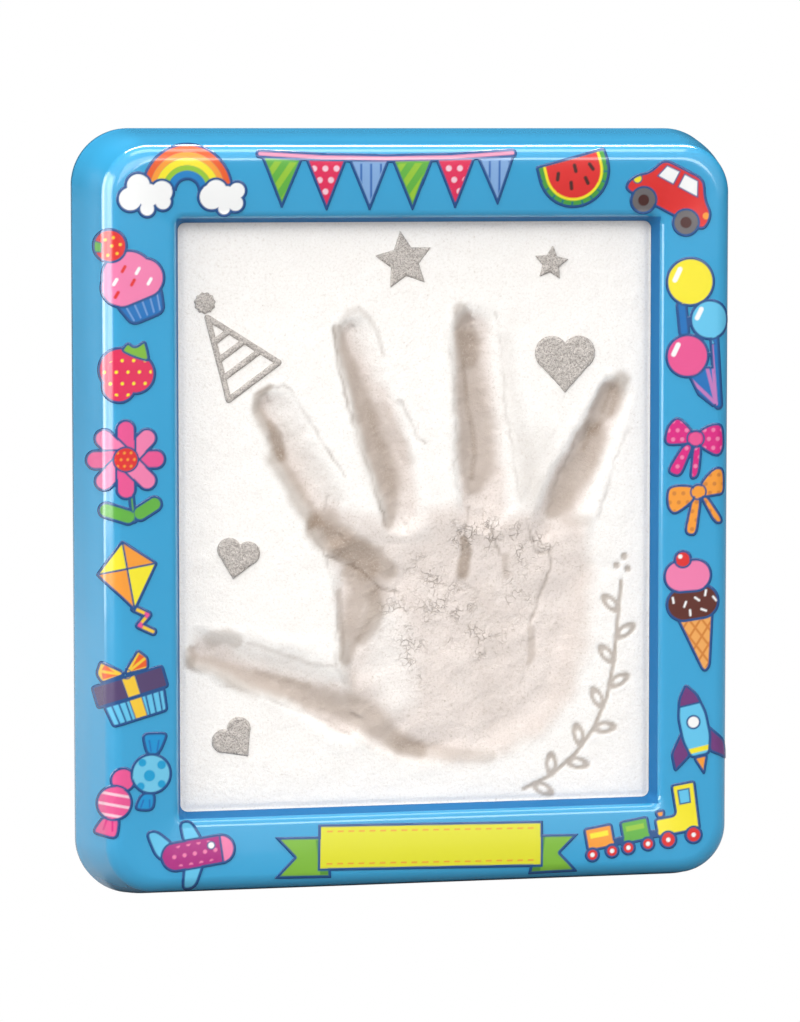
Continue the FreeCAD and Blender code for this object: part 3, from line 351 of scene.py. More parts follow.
def along(x, z, path):
    """Nearest place on a polyline: stretches passed, distance, and side, 1 for left and -1 for right."""
    best = np.full(x.shape, FAR_AWAY)
    share = np.zeros(x.shape)
    side = np.zeros(x.shape)
    path = np.asarray(path, dtype=float)
    for k in range(len(path) - 1):
        (x1, z1), (x2, z2) = path[k, :2], path[k + 1, :2]
        run = math.hypot(x2 - x1, z2 - z1)
        ux, uz = (x2 - x1) / run, (z2 - z1) / run
        t = np.clip(((x - x1) * ux + (z - z1) * uz) / run, 0, 1)
        dx, dz = x - x1 - t * run * ux, z - z1 - t * run * uz
        far = np.hypot(dx, dz)
        near = far < best
        best = np.where(near, far, best)
        share = np.where(near, k + t, share)
        side = np.where(near, -np.sign(dx * uz - dz * ux), side)
    return share, best, side


def table_at(share, values):
    """Value of a table at a place between its rows."""
    return np.interp(share, np.arange(len(values)), values)


def polygon_distance(x, z, corners):
    """Signed distance to a polygon, negative inside: nearest edge, with the sign from counted crossings."""
    corners = np.asarray(corners, dtype=float)
    nearest = np.full(x.shape, FAR_AWAY)
    odd = np.zeros(x.shape, dtype=bool)
    for k in range(len(corners)):
        (x1, z1), (x2, z2) = corners[k - 1], corners[k]
        ex, ez = x2 - x1, z2 - z1
        t = np.clip(((x - x1) * ex + (z - z1) * ez) / (ex * ex + ez * ez + NEARLY_NONE), 0, 1)
        nearest = np.minimum(nearest, np.hypot(x - x1 - t * ex, z - z1 - t * ez))
        crosses = (z1 > z) != (z2 > z)
        odd ^= crosses & (x < ex * (z - z1) / (ez if ez else NEARLY_NONE) + x1)
    return np.where(odd, -nearest, nearest)


def smooth_closed(corners, steps=8):
    """Closed smooth curve through corners: a Catmull-Rom cubic for each stretch."""
    p = np.asarray(corners, dtype=float)
    t = np.linspace(0, 1, steps, endpoint=False)[:, None]
    parts = []
    for k in range(len(p)):
        a, b, c, d = p[k - 1], p[k], p[(k + 1) % len(p)], p[(k + 2) % len(p)]
        parts.append(0.5 * (2 * b + (c - a) * t + (2 * a - 5 * b + 4 * c - d) * t ** 2
                            + (3 * b - a - 3 * c + d) * t ** 3))
    return np.vstack(parts)


# The pressed hand, in millimetres

# Heights, depths and widths of its forms, and the points across and up the slab
RIM_HEIGHT = 0.14
PALM_DEPTH = 1.8
GROOVE_BLEND = 0.6
CRACK_WIDTH = 0.42
SLAB_COLUMNS = 257
SLAB_ROWS = 309
# Across a finger's groove, in half widths: its deepest line, and the middle and the width of its rim
GROOVE_FLOOR = -0.25
RIM_MIDDLE = 1.1
RIM_WIDTH = 0.2

# Finger grooves: x, z, half width and depth at places from the tip to the base
FINGERS = {
    "index": [(-40.0, 138.0, 6.4, 2.4), (-35.5, 129.0, 7.2, 2.9), (-29.0, 117.0, 7.2, 2.6),
              (-22.0, 104.0, 7.0, 2.4)],
    "middle": [(-17.4, 158.4, 6.2, 2.4), (-13.2, 144.0, 7.6, 3.0), (-7.2, 127.0, 8.2, 3.2),
               (-3.0, 108.0, 7.4, 2.6)],
    "ring": [(16.2, 159.4, 7.4, 2.8), (17.8, 146.0, 8.2, 3.2), (19.4, 128.0, 9.2, 3.4),
             (20.4, 110.0, 9.6, 2.9)],
    "little": [(57.0, 140.2, 5.8, 2.6), (52.2, 130.0, 7.2, 3.0), (45.6, 117.0, 8.0, 3.0),
               (40.0, 104.0, 8.0, 2.4)],
    "thumb": [(-61.0, 72.0, 5.4, 1.8), (-49.0, 68.0, 7.4, 2.4), (-35.0, 62.6, 8.6, 2.8),
              (-20.0, 53.5, 9.6, 2.8)],
}

# Outline of the palm
PALM = [(-30.0, 108.0), (-22.0, 110.0), (-6.0, 109.0), (10.0, 111.0), (26.0, 109.0), (40.0, 112.0),
        (50.5, 104.0), (52.5, 90.0), (51.0, 72.0), (47.0, 57.0), (38.0, 46.0), (26.0, 39.0), (10.0, 36.5),
        (-6.0, 39.0), (-18.0, 46.5), (-21.0, 58.0), (-22.6, 72.0), (-24.0, 88.0), (-27.5, 99.0)]

# Painted shade on the pressed clay, where its hollows lie in shadow: strength, softness, then x, z and half
# width along each
PAINTED_SHADE_STROKES = [
    # Index finger
    (0.56, 0.8, [(-42.0, 144.2, 1.1), (-45.2, 141.6, 1.5), (-45.4, 138.3, 1.7), (-43.5, 134.0, 2.1),
                (-40.1, 129.1, 2.4), (-38.2, 125.2, 2.0)]),
    (0.52, 0.6, [(-40.1, 124.3, 3.0), (-36.2, 118.5, 3.0), (-33.3, 112.7, 3.2), (-29.9, 107.3, 2.8)]),
    (0.5, 0.6, [(-29.4, 106.8, 2.4), (-25.5, 106.5, 3.4), (-22.1, 102.3, 4.4), (-18.1, 97.9, 4.9),
                (-14.7, 93.9, 4.4)]),
    (0.14, 0.9, [(-38.1, 132.9, 2.0), (-33.3, 126.6, 2.9), (-28.4, 120.3, 2.9), (-23.5, 114.4, 2.9)]),
    (0.38, 0.3, [(-42.0, 133.9, 1.3), (-39.6, 130.1, 1.8), (-38.2, 126.2, 1.3)]),
    # Middle finger
    (0.46, 0.5, [(-22.7, 160.1, 1.5), (-20.2, 151.9, 2.8), (-17.2, 144.2, 3.8), (-15.0, 137.4, 4.0),
                (-12.8, 130.1, 4.1), (-10.0, 123.8, 4.6), (-8.4, 118.0, 4.9), (-7.9, 111.2, 3.7),
                (-7.8, 105.9, 2.0)]),
    (0.22, 0.8, [(-13.2, 139.4, 1.4), (-10.8, 130.1, 1.6), (-7.6, 121.8, 2.0), (-6.7, 113.2, 1.6)]),
    (0.16, 0.6, [(-18.1, 148.5, 2.0), (-15.1, 134.5, 3.4), (-12.7, 125.3, 3.9), (-10.2, 118.0, 4.4)]),
    (0.24, 0.5, [(-9.7, 137.8, 2.2), (-6.8, 131.5, 2.2), (-4.3, 127.6, 2.4), (-2.3, 123.7, 2.2)]),
    (0.2, 0.6, [(-22.0, 161.5, 1.0), (-20.0, 164.8, 1.1), (-16.6, 165.8, 1.1), (-13.6, 162.9, 0.9),
                (-11.2, 158.5, 0.7), (-9.7, 152.7, 0.6)]),
    # Ring finger
    (0.42, 0.35, [(12.2, 165.0, 2.3), (13.4, 161.2, 3.4), (15.0, 156.3, 3.6), (15.4, 151.5, 2.9)]),
    (0.46, 0.5, [(13.9, 156.5, 4.2), (15.4, 141.8, 5.1), (16.9, 132.1, 6.0), (17.6, 124.8, 6.3),
                (17.4, 120.0, 5.5), (16.9, 115.6, 3.1)]),
    (0.34, 0.6, [(13.4, 150.1, 0.7), (14.6, 143.3, 0.9), (15.1, 137.0, 0.9), (16.9, 129.7, 1.0),
                (17.4, 124.4, 0.9), (16.4, 117.6, 0.8)]),
    (0.12, 1.0, [(25.3, 156.2, 2.4), (26.8, 141.7, 2.9), (29.3, 127.1, 3.9), (31.9, 114.9, 4.4)]),
    (0.14, 1.0, [(34.8, 127.0, 5.9), (34.9, 114.8, 5.9)]),
    # Little finger
    (0.54, 0.7, [(59.4, 145.2, 2.5), (58.0, 141.3, 2.8), (56.1, 136.4, 2.7)]),
    (0.44, 0.4, [(55.4, 142.8, 1.9), (52.9, 137.0, 2.5), (50.9, 131.6, 3.0)]),
    (0.56, 0.6, [(51.4, 129.7, 4.2), (49.6, 124.3, 4.7), (47.1, 119.5, 4.4), (44.1, 115.2, 4.1),
                (41.9, 110.8, 3.9), (39.9, 107.9, 2.2)]),
    (0.3, 0.7, [(58.4, 143.2, 0.8), (56.7, 135.4, 0.8), (50.9, 130.2, 0.9), (48.6, 125.3, 0.9)]),
    (0.26, 0.8, [(43.9, 105.9, 2.4), (48.9, 105.3, 2.0)]),
    # Palm
    (0.72, 0.5, [(13.5, 100.6, 1.3), (14.2, 96.4, 1.8), (13.3, 90.9, 1.9)]),
    (0.34, 0.6, [(25.5, 95.5, 1.0), (26.0, 89.9, 1.0)]),
    (0.36, 0.6, [(33.5, 74.5, 1.2), (33.6, 67.7, 1.1), (32.5, 64.8, 0.6)]),
    (0.1, 1.0, [(18.9, 82.7, 5.4), (22.9, 71.9, 6.3), (22.0, 59.6, 5.9), (22.0, 49.8, 5.4)]),
    (0.1, 0.9, [(50.0, 94.5, 1.6), (49.0, 85.9, 2.7), (47.0, 71.3, 2.9), (43.0, 57.6, 3.1),
                (36.0, 46.0, 3.1), (26.0, 40.2, 2.6)]),
    (0.34, 0.7, [(-4.9, 43.3, 3.4), (2.5, 41.1, 2.9), (10.0, 39.4, 2.1), (21.0, 39.1, 2.0)]),
    # Base of the index finger and the hollow beside the thumb
    (0.55, 0.4, [(-28.4, 104.1, 3.9), (-23.5, 100.6, 4.4), (-17.6, 98.1, 4.1), (-12.2, 95.5, 3.9),
                (-8.3, 92.1, 3.0)]),
    (0.5, 0.45, [(-18.1, 91.8, 3.4), (-14.7, 87.4, 5.4), (-14.7, 82.5, 6.1), (-17.2, 77.7, 5.1),
                (-19.4, 72.9, 2.9), (-20.6, 68.1, 2.1)]),
    (0.36, 0.6, [(-12.2, 85.8, 2.3), (-11.2, 81.5, 2.5), (-12.7, 76.6, 2.4), (-15.7, 72.8, 2.0)]),
    (0.34, 0.6, [(-22.1, 86.5, 1.0), (-21.7, 79.8, 1.2), (-21.6, 73.0, 1.2), (-22.4, 68.1, 1.0)]),
    (0.22, 0.7, [(-20.4, 65.7, 2.4), (-19.4, 60.8, 2.2), (-18.2, 56.8, 2.0)]),
    # Thumb
    (0.36, 0.4, [(-58.3, 74.4, 2.6), (-53.9, 75.2, 2.3), (-51.5, 73.5, 2.1)]),
    (0.36, 0.5, [(-64.6, 70.7, 2.0), (-64.5, 68.3, 1.9)]),
    (0.5, 0.55, [(-63.7, 68.0, 2.4), (-57.8, 66.6, 2.9), (-53.0, 63.9, 3.5), (-45.7, 61.5, 3.7),
                (-38.3, 59.8, 3.7), (-31.0, 57.2, 3.9), (-23.6, 55.0, 4.1), (-16.2, 52.9, 4.7),
                (-10.8, 48.4, 4.4), (-5.8, 43.8, 3.2), (0.8, 41.4, 2.5)]),
    (0.24, 0.6, [(-45.7, 64.6, 0.8), (-37.4, 62.0, 0.9), (-30.5, 60.1, 0.7)]),
    (0.05, 0.8, [(-42.2, 68.6, 2.4), (-33.4, 65.0, 2.4), (-24.6, 62.9, 2.9)]),
    (0.2, 0.6, [(-48.1, 72.9, 0.7), (-42.2, 71.3, 0.7), (-35.9, 68.5, 0.7), (-30.5, 66.6, 0.7),
                (-23.6, 66.2, 0.6)]),
]

# Fine cracks and sharp edges in the clay: strength, then x and z along each, in millimetres
CRACKS = [
    (0.6, [(-38.1, 144.4), (-35.7, 143.2), (-32.3, 137.6), (-28.4, 131.3), (-25.0, 125.5), (-21.1, 119.2)]),
    (0.4, [(-45.2, 142.6), (-42.0, 144.7), (-38.1, 144.4)]),
    (0.55, [(-25.4, 113.5), (-26.2, 109.1)]),
    (0.6, [(-23.8, 161.5), (-23.3, 154.3), (-21.0, 143.3), (-17.6, 131.7), (-14.7, 123.4), (-12.2, 116.1),
           (-10.2, 110.3), (-8.8, 105.2)]),
    (0.3, [(-16.6, 166.2), (-13.6, 163.3), (-11.2, 159.5), (-9.7, 153.7)]),
    (0.6, [(-4.9, 139.7), (-2.9, 136.3), (-0.5, 130.9), (2.0, 128.0)]),
    (0.45, [(-5.3, 140.2), (-2.3, 134.3), (0.6, 129.0)]),
    (0.3, [(8.0, 158.8), (9.9, 151.6), (11.0, 141.9), (11.0, 132.2), (12.2, 128.3), (10.9, 122.5),
           (11.7, 115.2)]),
    (0.35, [(22.8, 164.5), (24.3, 151.4), (25.8, 136.8), (27.9, 122.2), (29.9, 111.0)]),
    (0.35, [(53.9, 144.3), (49.4, 134.6), (44.4, 123.9), (38.9, 112.3)]),
    (0.3, [(62.2, 136.3), (61.0, 130.5), (57.5, 123.7), (55.0, 114.5), (52.5, 106.2)]),
    (0.6, [(15.4, 109.3), (14.7, 106.0), (12.4, 101.6)]),
    (0.5, [(11.9, 89.2), (14.9, 87.4), (17.9, 85.2), (16.2, 81.3)]),
    (0.6, [(21.4, 104.6), (22.9, 99.7), (24.5, 96.2)]),
    (0.6, [(31.4, 105.8), (32.9, 100.9), (35.2, 96.5), (36.7, 96.5)]),
    (0.6, [(38.0, 97.4), (39.0, 92.0), (37.9, 88.6), (35.1, 83.8), (34.9, 80.4), (33.2, 75.5)]),
    (0.3, [(32.5, 64.8), (30.0, 58.9)]),
    (0.8, [(-26.0, 96.8), (-21.1, 94.8), (-16.2, 92.7), (-11.2, 88.0), (-5.3, 85.7)]),
    (0.4, [(-31.4, 105.1), (-27.0, 98.7), (-24.5, 91.0), (-23.0, 85.1), (-23.0, 75.9), (-23.4, 65.2),
           (-20.6, 60.8)]),
    (0.35, [(-66.6, 66.4), (-60.3, 64.3), (-56.9, 61.3), (-50.1, 59.9), (-38.4, 55.0), (-26.1, 50.7),
            (-18.7, 45.7), (-12.8, 42.1)]),
]

# Painted light: pressed places, mostly the lit sides of the grooves, that stay as pale as the clay around the
# hand: strength, softness, then x, z and half width
PAINTED_LIT_SIDES = [
    (0.75, 1.0, [(-38.5, 139.0, 3.6), (-31.0, 128.0, 4.8), (-24.0, 116.0, 4.8)]),
    (0.7, 1.0, [(-17.0, 163.0, 3.0), (-13.0, 155.0, 3.4), (-10.0, 147.0, 2.8)]),
    (0.7, 1.0, [(-50.0, 70.5, 2.6), (-36.0, 66.3, 3.4), (-26.0, 63.8, 3.2)]),
    (0.6, 1.0, [(-9.0, 77.0, 6.5), (-8.0, 66.0, 8.0), (-5.0, 57.0, 5.5)]),
    (0.6, 1.0, [(23.0, 157.0, 2.6), (24.5, 142.0, 3.0), (26.5, 124.0, 3.4)]),
    (0.3, 1.0, [(-16.0, 104.0, 5.0), (0.0, 104.0, 5.0)]),
]

# Patches of the palm where the drying clay has crazed: strength, softness, then x, z and half width
CRAZED = [
    (0.9, 1.0, [(12.0, 103.0, 5.0), (24.0, 101.0, 6.5), (38.0, 97.0, 6.0)]),
    (0.8, 1.0, [(2.0, 92.0, 5.0), (10.0, 80.0, 8.0), (18.0, 70.0, 6.0)]),
    (0.7, 1.0, [(-8.0, 84.0, 4.0), (-2.0, 74.0, 6.0), (0.0, 62.0, 4.0)]),
    (0.5, 1.0, [(28.0, 86.0, 6.0), (30.0, 74.0, 5.0)]),
]


def painted_over(x, z, strokes):
    """Shade from 0 to 1 that soft strokes with cloudy edges leave together.

    Across a stroke the shade falls by an S round its edge, and the softer the stroke, the wider the fall.
    """
    light = np.ones(x.shape)
    for strength, softness, path in strokes:
        share, far, _ = along(x, z, path)
        half = table_at(share, [p[2] for p in path])
        cloudy = far / half + 0.09 * lumps(x, z, 2.6, 45) + 0.04 * lumps(x, z, 1.2, 46)
        light = light * (1 - strength * (1 - ease(0.78 - 0.6 * softness, 1.16 + 0.4 * softness, cloudy)))
    return 1 - light


# The drawn sprig: its stem from the foot to the tip, and its berries
SPRIG = [(31.0, 29.4), (39.0, 33.0), (46.0, 38.8), (51.5, 46.2), (55.3, 55.0), (57.3, 65.0), (58.3, 76.0),
         (59.4, 88.0)]
BERRIES = [(58.0, 92.4), (61.2, 91.4), (60.2, 95.0)]
BERRY = 0.5
# Its leaves: the first one's place and the step to the next in stretches of the stem, their lean as shares
# along and across the stem, and the reach of their middles and their half length and width
LEAVES = 10
FIRST_LEAF = 0.35
LEAF_STEP = 0.66
LEAF_LEAN = (0.62, 0.78)
LEAF_REACH = 3.1
LEAF_LENGTH = 2.6
LEAF_WIDTH = 1.25
# Scale that brings a leaf's own measure near to millimetres, and where the drawn line starts to fade and ends
LEAF_SCALE = 1.3
SPRIG_LINE = (0.3, 0.85)


def sprig(x, z):
    """Nearness, from 0 to 1, to a drawn sprig: a thin stem, outlined oval leaves beside it, and berries."""
    _, best, _ = along(x, z, SPRIG)
    for k in range(LEAVES):
        at = FIRST_LEAF + k * LEAF_STEP
        i = int(at)
        (x1, z1), (x2, z2) = SPRIG[i], SPRIG[i + 1]
        run = math.hypot(x2 - x1, z2 - z1)
        ux, uz = (x2 - x1) / run, (z2 - z1) / run
        ahead, aside = LEAF_LEAN[0], LEAF_LEAN[1] if k % 2 else -LEAF_LEAN[1]
        lean_x, lean_z = ahead * ux - aside * uz, ahead * uz + aside * ux
        from_x = x1 + (x2 - x1) * (at - i) + LEAF_REACH * lean_x - x
        from_z = z1 + (z2 - z1) * (at - i) + LEAF_REACH * lean_z - z
        length = from_x * lean_x + from_z * lean_z
        width = from_z * lean_x - from_x * lean_z
        leaf = np.abs(np.hypot(length / LEAF_LENGTH, width / LEAF_WIDTH) - 1) * LEAF_SCALE
        best = np.minimum(best, leaf)
    for berry_x, berry_z in BERRIES:
        best = np.minimum(best, np.hypot(x - berry_x, z - berry_z) - BERRY)
    return 1 - ease(*SPRIG_LINE, best)


def finger_grooves(x, z):
    """Depth of the five grooves and the height of their raised rims, in millimetres.

    Across a groove the depth follows an S that is steeper on one side. The rim is a narrow bell beside it.
    """
    depth = np.zeros(x.shape)
    rim = np.zeros(x.shape)
    for path in FINGERS.values():
        share, far, side = along(x, z, path)
        half = table_at(share, [p[2] for p in path])
        deep = table_at(share, [p[3] for p in path])
        across = side * far / half
        valley = np.where(across < GROOVE_FLOOR, (across + 1) / (1 + GROOVE_FLOOR),
                          (1 - across) / (1 - GROOVE_FLOOR))
        depth = np.maximum(depth, deep * ease(0.0, 1.0, np.clip(valley, 0, 1)) ** 0.8)
        rim = np.maximum(rim, RIM_HEIGHT * np.exp(-((np.abs(across) - RIM_MIDDLE) / RIM_WIDTH) ** 2))
    return depth, rim


def palm_hollow(x, z, edge):
    """Depth of the palm by the distance to its outline: a lumpy floor, shallower and softer at the top."""
    floor = PALM_DEPTH + 0.5 * lumps(x, z, 19.0, 21) + 0.35 * lumps(x, z, 6.0, 22)
    floor = floor * (1 - 0.7 * ease(86.0, 112.0, z))
    soft = 3.2 + 7.0 * ease(-14.0, 30.0, x) * ease(100.0, 70.0, z)
    soft = soft + 11.0 * ease(90.0, 108.0, z)
    return floor * ease(0.8, -soft, edge)


def fine_cracks(x, z):
    """Nearness, from 0 to 1, to the fine cracks: a bell across each wavering line, stronger in places."""
    wavering_x = x + 0.5 * lumps(x, z, 2.0, 41)
    wavering_z = z + 0.5 * lumps(x, z, 2.0, 42)
    broken = 0.55 + 0.45 * lumps(x, z, 3.4, 43)
    crack = np.zeros(x.shape)
    for strength, path in CRACKS:
        _, far, _ = along(wavering_x, wavering_z, path)
        crack = np.maximum(crack, strength * broken * np.exp(-(far / CRACK_WIDTH) ** 2))
    return crack


def press_hand(x, z):
    """Depth of the pressed hand, its raised rim, its painted shade, its cracks, and a pinkish tint over its
    grooves and palm that is partly painted shade.

    Grooves and palm are joined by a smooth maximum, the mean plus half the root of their squared difference.
    """
    wobble_x = x + 0.6 * lumps(x, z, 7.0, 11) + 0.25 * lumps(x, z, 2.2, 12)
    wobble_z = z + 0.6 * lumps(x, z, 7.0, 13) + 0.25 * lumps(x, z, 2.2, 14)
    grooves, rim = finger_grooves(wobble_x, wobble_z)
    edge = polygon_distance(wobble_x, wobble_z, smooth_closed(PALM))
    palm = palm_hollow(x, z, edge)
    joined = 0.5 * (grooves + palm + np.sqrt((grooves - palm) ** 2 + GROOVE_BLEND ** 2)) - GROOVE_BLEND / 2
    # Painted shade of the hand's hollows
    shade = painted_over(0.5 * (x + wobble_x), 0.5 * (z + wobble_z), PAINTED_SHADE_STROKES)
    ridged = 0.05 * np.sin((x * 0.5 - z) * 3.4 + 4.0 * lumps(x, z, 5.0, 44)) * ease(0.35, 0.7, shade)
    near_palm = ease(2.0, -5.0, edge + 1.2 * lumps(x, z, 5.0, 23))
    # Pinkish tint over the grooves and palm, partly painted shade; it is taken out on the lit sides that are
    # painted pale
    touched = np.maximum(ease(0.2, 1.8, grooves), near_palm) * (1 - painted_over(x, z, PAINTED_LIT_SIDES))
    return joined + ridged, rim * (1 - ease(0.0, 1.6, palm)), shade, fine_cracks(x, z), touched


# Clay slab

def slab_places():
    """Grid of x and z over the slab, its rows drawn in by a quarter circle at the corners."""
    half_width = WIDTH / 2 - CLAY_INSET
    half_height = HEIGHT / 2 - CLAY_INSET
    u = np.linspace(-1, 1, SLAB_COLUMNS)[None, :]
    w = np.linspace(-1, 1, SLAB_ROWS)[:, None]
    z = np.broadcast_to(w * half_height, (SLAB_ROWS, SLAB_COLUMNS))
    past = np.clip(np.abs(z) - (half_height - CLAY_CORNER), 0, CLAY_CORNER)
    x = u * (half_width - (CLAY_CORNER - np.sqrt(np.clip(CLAY_CORNER ** 2 - past ** 2, 0, None))))
    return x, z + MIDDLE


def closed_slab(x, deep, z):
    """Points and faces of a slab: its front is a grid, whose edge is carried to the back and covered."""
    rows, columns = x.shape
    front = np.stack([x, deep, z], -1).reshape(-1, 3)
    index = np.arange(rows * columns).reshape(rows, columns)
    loop = np.concatenate([index[0, :], index[1:, -1], index[-1, -2::-1], index[-2:0:-1, 0]])
    back = front[loop].copy()
    back[:, 1] = CLAY_PLANE + CLAY_THICKNESS
    here = np.arange(len(loop))
    after = (here + 1) % len(loop)
    first = rows * columns
    walls = np.stack([loop[after], loop[here], first + here, first + after], -1)
    lid = (first + here)[::-1][None, :]
    return np.vstack([front, back]), [grid_faces(rows, columns), walls, lid]


def paint_front(obj, name, *channels):
    """Colour attribute on the slab's front, from one to three fields from 0 to 1; its back stays black."""
    colours = np.zeros((len(obj.data.vertices), 3))
    for k, channel in enumerate(channels):
        colours[:channel.size, k] = np.clip(channel, 0, 1).ravel()
    paint_points(obj, name, colours)


def clay_slab(finish):
    """Slab whose front is a field of depths: pressed hand, raised rims, fine lumps and a dip by the lip.

    Its paint has the painted shade of the hand and the drawn sprig, and a bell of painted shade under the
    top lip and beside the right one.
    """
    x, z = slab_places()
    hand, rim, shade, crack, touched = press_hand(x, z)
    drawn = sprig(x, z)
    from_sides = WIDTH / 2 - COLLAR_INSET - np.abs(x)
    from_ends = HEIGHT / 2 - COLLAR_INSET - np.abs(z - MIDDLE)
    open_edge = np.minimum(from_sides, from_ends)
    free = ease(0.4, 5.0, open_edge)
    fine = 0.05 * lumps(x, z, 1.3, 31) + 0.09 * lumps(x, z, 4.0, 32) + 0.16 * lumps(x, z, 17.0, 33)
    rough = (0.10 * lumps(x, z, 1.1, 34) + 0.12 * lumps(x, z, 2.6, 35)) * ease(0.5, 2.2, hand)
    dip = 0.35 * np.exp(-((open_edge - 0.5) / 0.8) ** 2) * ease(-0.6, 0.2, open_edge)
    deep = CLAY_PLANE + (hand - rim + rough + 0.5 * crack + 0.25 * drawn + fine) * free + dip
    points, faces = closed_slab(x, deep, z)
    obj = piece("clay_print", points, faces, [finish], "clay_slab")
    # Painted shade: a bell of darker paint under the top lip and beside the right lip, where the lips shade
    # the clay
    top_lip = np.abs(HEIGHT - COLLAR_INSET - z)
    right_lip = np.abs(WIDTH / 2 - COLLAR_INSET - x)
    lip_shade = 0.16 * np.exp(-(top_lip / 2.4) ** 2) + 0.12 * np.exp(-(right_lip / 2.0) ** 2)
    # Painted shade of the hand and under the lips, joined with the drawn sprig into one channel
    shade = 1 - (1 - shade) * (1 - lip_shade) * (1 - 0.62 * drawn)
    paint_front(obj, "tone", shade, touched, crack)
    paint_front(obj, "crazed", painted_over(x, z, CRAZED) * ease(0.1, 0.6, touched))


# Stickers: each is cut out along its forms, printed on, and laid on the face

# The printed figures are drawn in shares of the width of the frame's members
UNIT = MEMBER
WIDE_STICKERS = ("banner", "bunting")
# Step of the grid that a sticker is cut from, softness of an ink's edge and width of the navy border
STICKER_GRID = 0.25
INK_EDGE = 0.26
NAVY_BORDER = 0.78
# The eye that the artwork lines up for, in millimetres from the middle of the drawing's front
EYE = (-276.5, -1224.2, 107.3)
# Artwork nearer to the right side than this is squeezed to a share of its width, to stay on the face
SIDE_ROOM = 4.8
SIDE_SQUEEZE_SHARE = 0.3

# Inks in screen values from 0 to 255
COLOURS = {
    "navy": (16, 78, 140), "white": (252, 253, 253), "red": (226, 42, 40),
    "flame": (236, 92, 30), "orange": (250, 160, 50), "yellow": (250, 235, 40), "lime": (150, 200, 50),
    "blue": (20, 130, 200), "sky": (100, 200, 240), "tape": (235, 150, 180), "leaf": (96, 178, 62),
    "crimson": (228, 38, 88), "pale_pink": (250, 205, 220), "steel_blue": (130, 172, 222),
    "deep_blue": (30, 96, 176), "rind": (70, 160, 62), "seed": (70, 28, 24), "teal": (24, 120, 130),
    "grey": (108, 104, 106), "pink": (244, 128, 176), "rose": (236, 84, 148), "magenta": (222, 26, 130),
    "brown": (94, 38, 26), "cone": (242, 172, 90), "waffle": (214, 130, 52), "banner": (228, 226, 34),
    "stitch": (236, 150, 50), "ribbon": (126, 186, 52), "ribbon_dark": (84, 150, 56), "plum": (82, 62, 108),
    "gold": (250, 205, 52), "purple": (112, 52, 122), "violet": (176, 32, 128), "cup": (0, 112, 188),
    "candy": (112, 202, 236), "candy_dot": (0, 160, 214), "knot": (0, 150, 214), "string": (196, 122, 190),
}


def cut_out(x, z, far, step):
    """Cells of a grid inside an outline, the points that they use, and the points moved onto the outline.

    A point at the rim moves against the slope of the signed distance, as far as the distance itself.
    """
    middle = (far[:-1, :-1] + far[1:, :-1] + far[:-1, 1:] + far[1:, 1:]) / 4
    kept = middle < 0
    slope_z, slope_x = np.gradient(far, step)
    touched = np.zeros(far.shape, dtype=int)
    for i, j in ((0, 0), (1, 0), (0, 1), (1, 1)):
        touched[i:i + kept.shape[0], j:j + kept.shape[1]] += kept
    rim = (touched > 0) & (touched < 4)
    steep = np.maximum(slope_x ** 2 + slope_z ** 2, 0.3)
    move = np.where(rim, np.clip(far, -1.2 * step, 1.2 * step) / steep, 0)
    return kept, touched > 0, x - move * slope_x, z - move * slope_z


def cut_faces(kept, used):
    """Faces of the kept cells, and the pairs of points along their outer edges."""
    number = np.full(used.shape, -1)
    number[used] = np.arange(np.count_nonzero(used))
    rows, columns = np.nonzero(kept)
    faces = np.stack([number[rows, columns], number[rows, columns + 1], number[rows + 1, columns + 1],
                      number[rows + 1, columns]], -1)
    edges = np.concatenate([faces[:, [0, 1]], faces[:, [1, 2]], faces[:, [2, 3]], faces[:, [3, 0]]])
    count = np.count_nonzero(used)
    forward = edges[:, 0] * count + edges[:, 1]
    backward = edges[:, 1] * count + edges[:, 0]
    return faces, edges[~np.isin(forward, backward)]


def turned(x, z, degrees):
    """Point turned anticlockwise."""
    c, s = math.cos(math.radians(degrees)), math.sin(math.radians(degrees))
    return x * c - z * s, x * s + z * c


def form_distance(form, x, z):
    """Signed distance to one outline form, in shares of the member's width, negative inside.

    A disc or bowl is given by its middle and radius, a bar by its ends and radius, an arch by its middle and
    two radii, petals by their middle, reach and radius, stripes by their turn, step, width and start, dots by
    their step and radius, and any other form by its corners.
    """
    kind, v = form[0], form[1:]
    if kind == "disc":
        return np.hypot(x - v[0], z - v[1]) - v[2]
    if kind == "bar":
        ex, ez = v[2] - v[0], v[3] - v[1]
        t = np.clip(((x - v[0]) * ex + (z - v[1]) * ez) / (ex * ex + ez * ez), 0, 1)
        return np.hypot(x - v[0] - t * ex, z - v[1] - t * ez) - v[4]
    if kind == "arch":
        ring = np.abs(np.hypot(x - v[0], z - v[1]) - (v[2] + v[3]) / 2) - (v[2] - v[3]) / 2
        return np.maximum(ring, v[1] - z)
    if kind == "bowl":
        return np.maximum(np.hypot(x - v[0], z - v[1]) - v[2], z - v[1])
    if kind == "petals":
        tips = [np.add(v[:2], turned(v[2], 0, k * 45)).tolist() for k in range(8)]
        return nearest_form([("bar", *v[:2], *tip, v[3]) for tip in tips], x, z)
    if kind == "stripes":
        across, _ = turned(x, z, -v[0])
        return np.abs((across / v[1] + v[3]) % 1 - 0.5) * v[1] - v[2] / 2
    if kind == "dots":
        row = np.floor(z / v[0] + 0.5)
        shift = (row % 2) * 0.5
        column = np.floor(x / v[0] - shift + 0.5) + shift
        return np.hypot(x - column * v[0], z - row * v[0]) - v[1]
    return polygon_distance(x, z, v)


def nearest_form(forms, x, z):
    """Signed distance to several forms taken together."""
    far = form_distance(forms[0], x, z)
    for form in forms[1:]:
        far = np.minimum(far, form_distance(form, x, z))
    return far


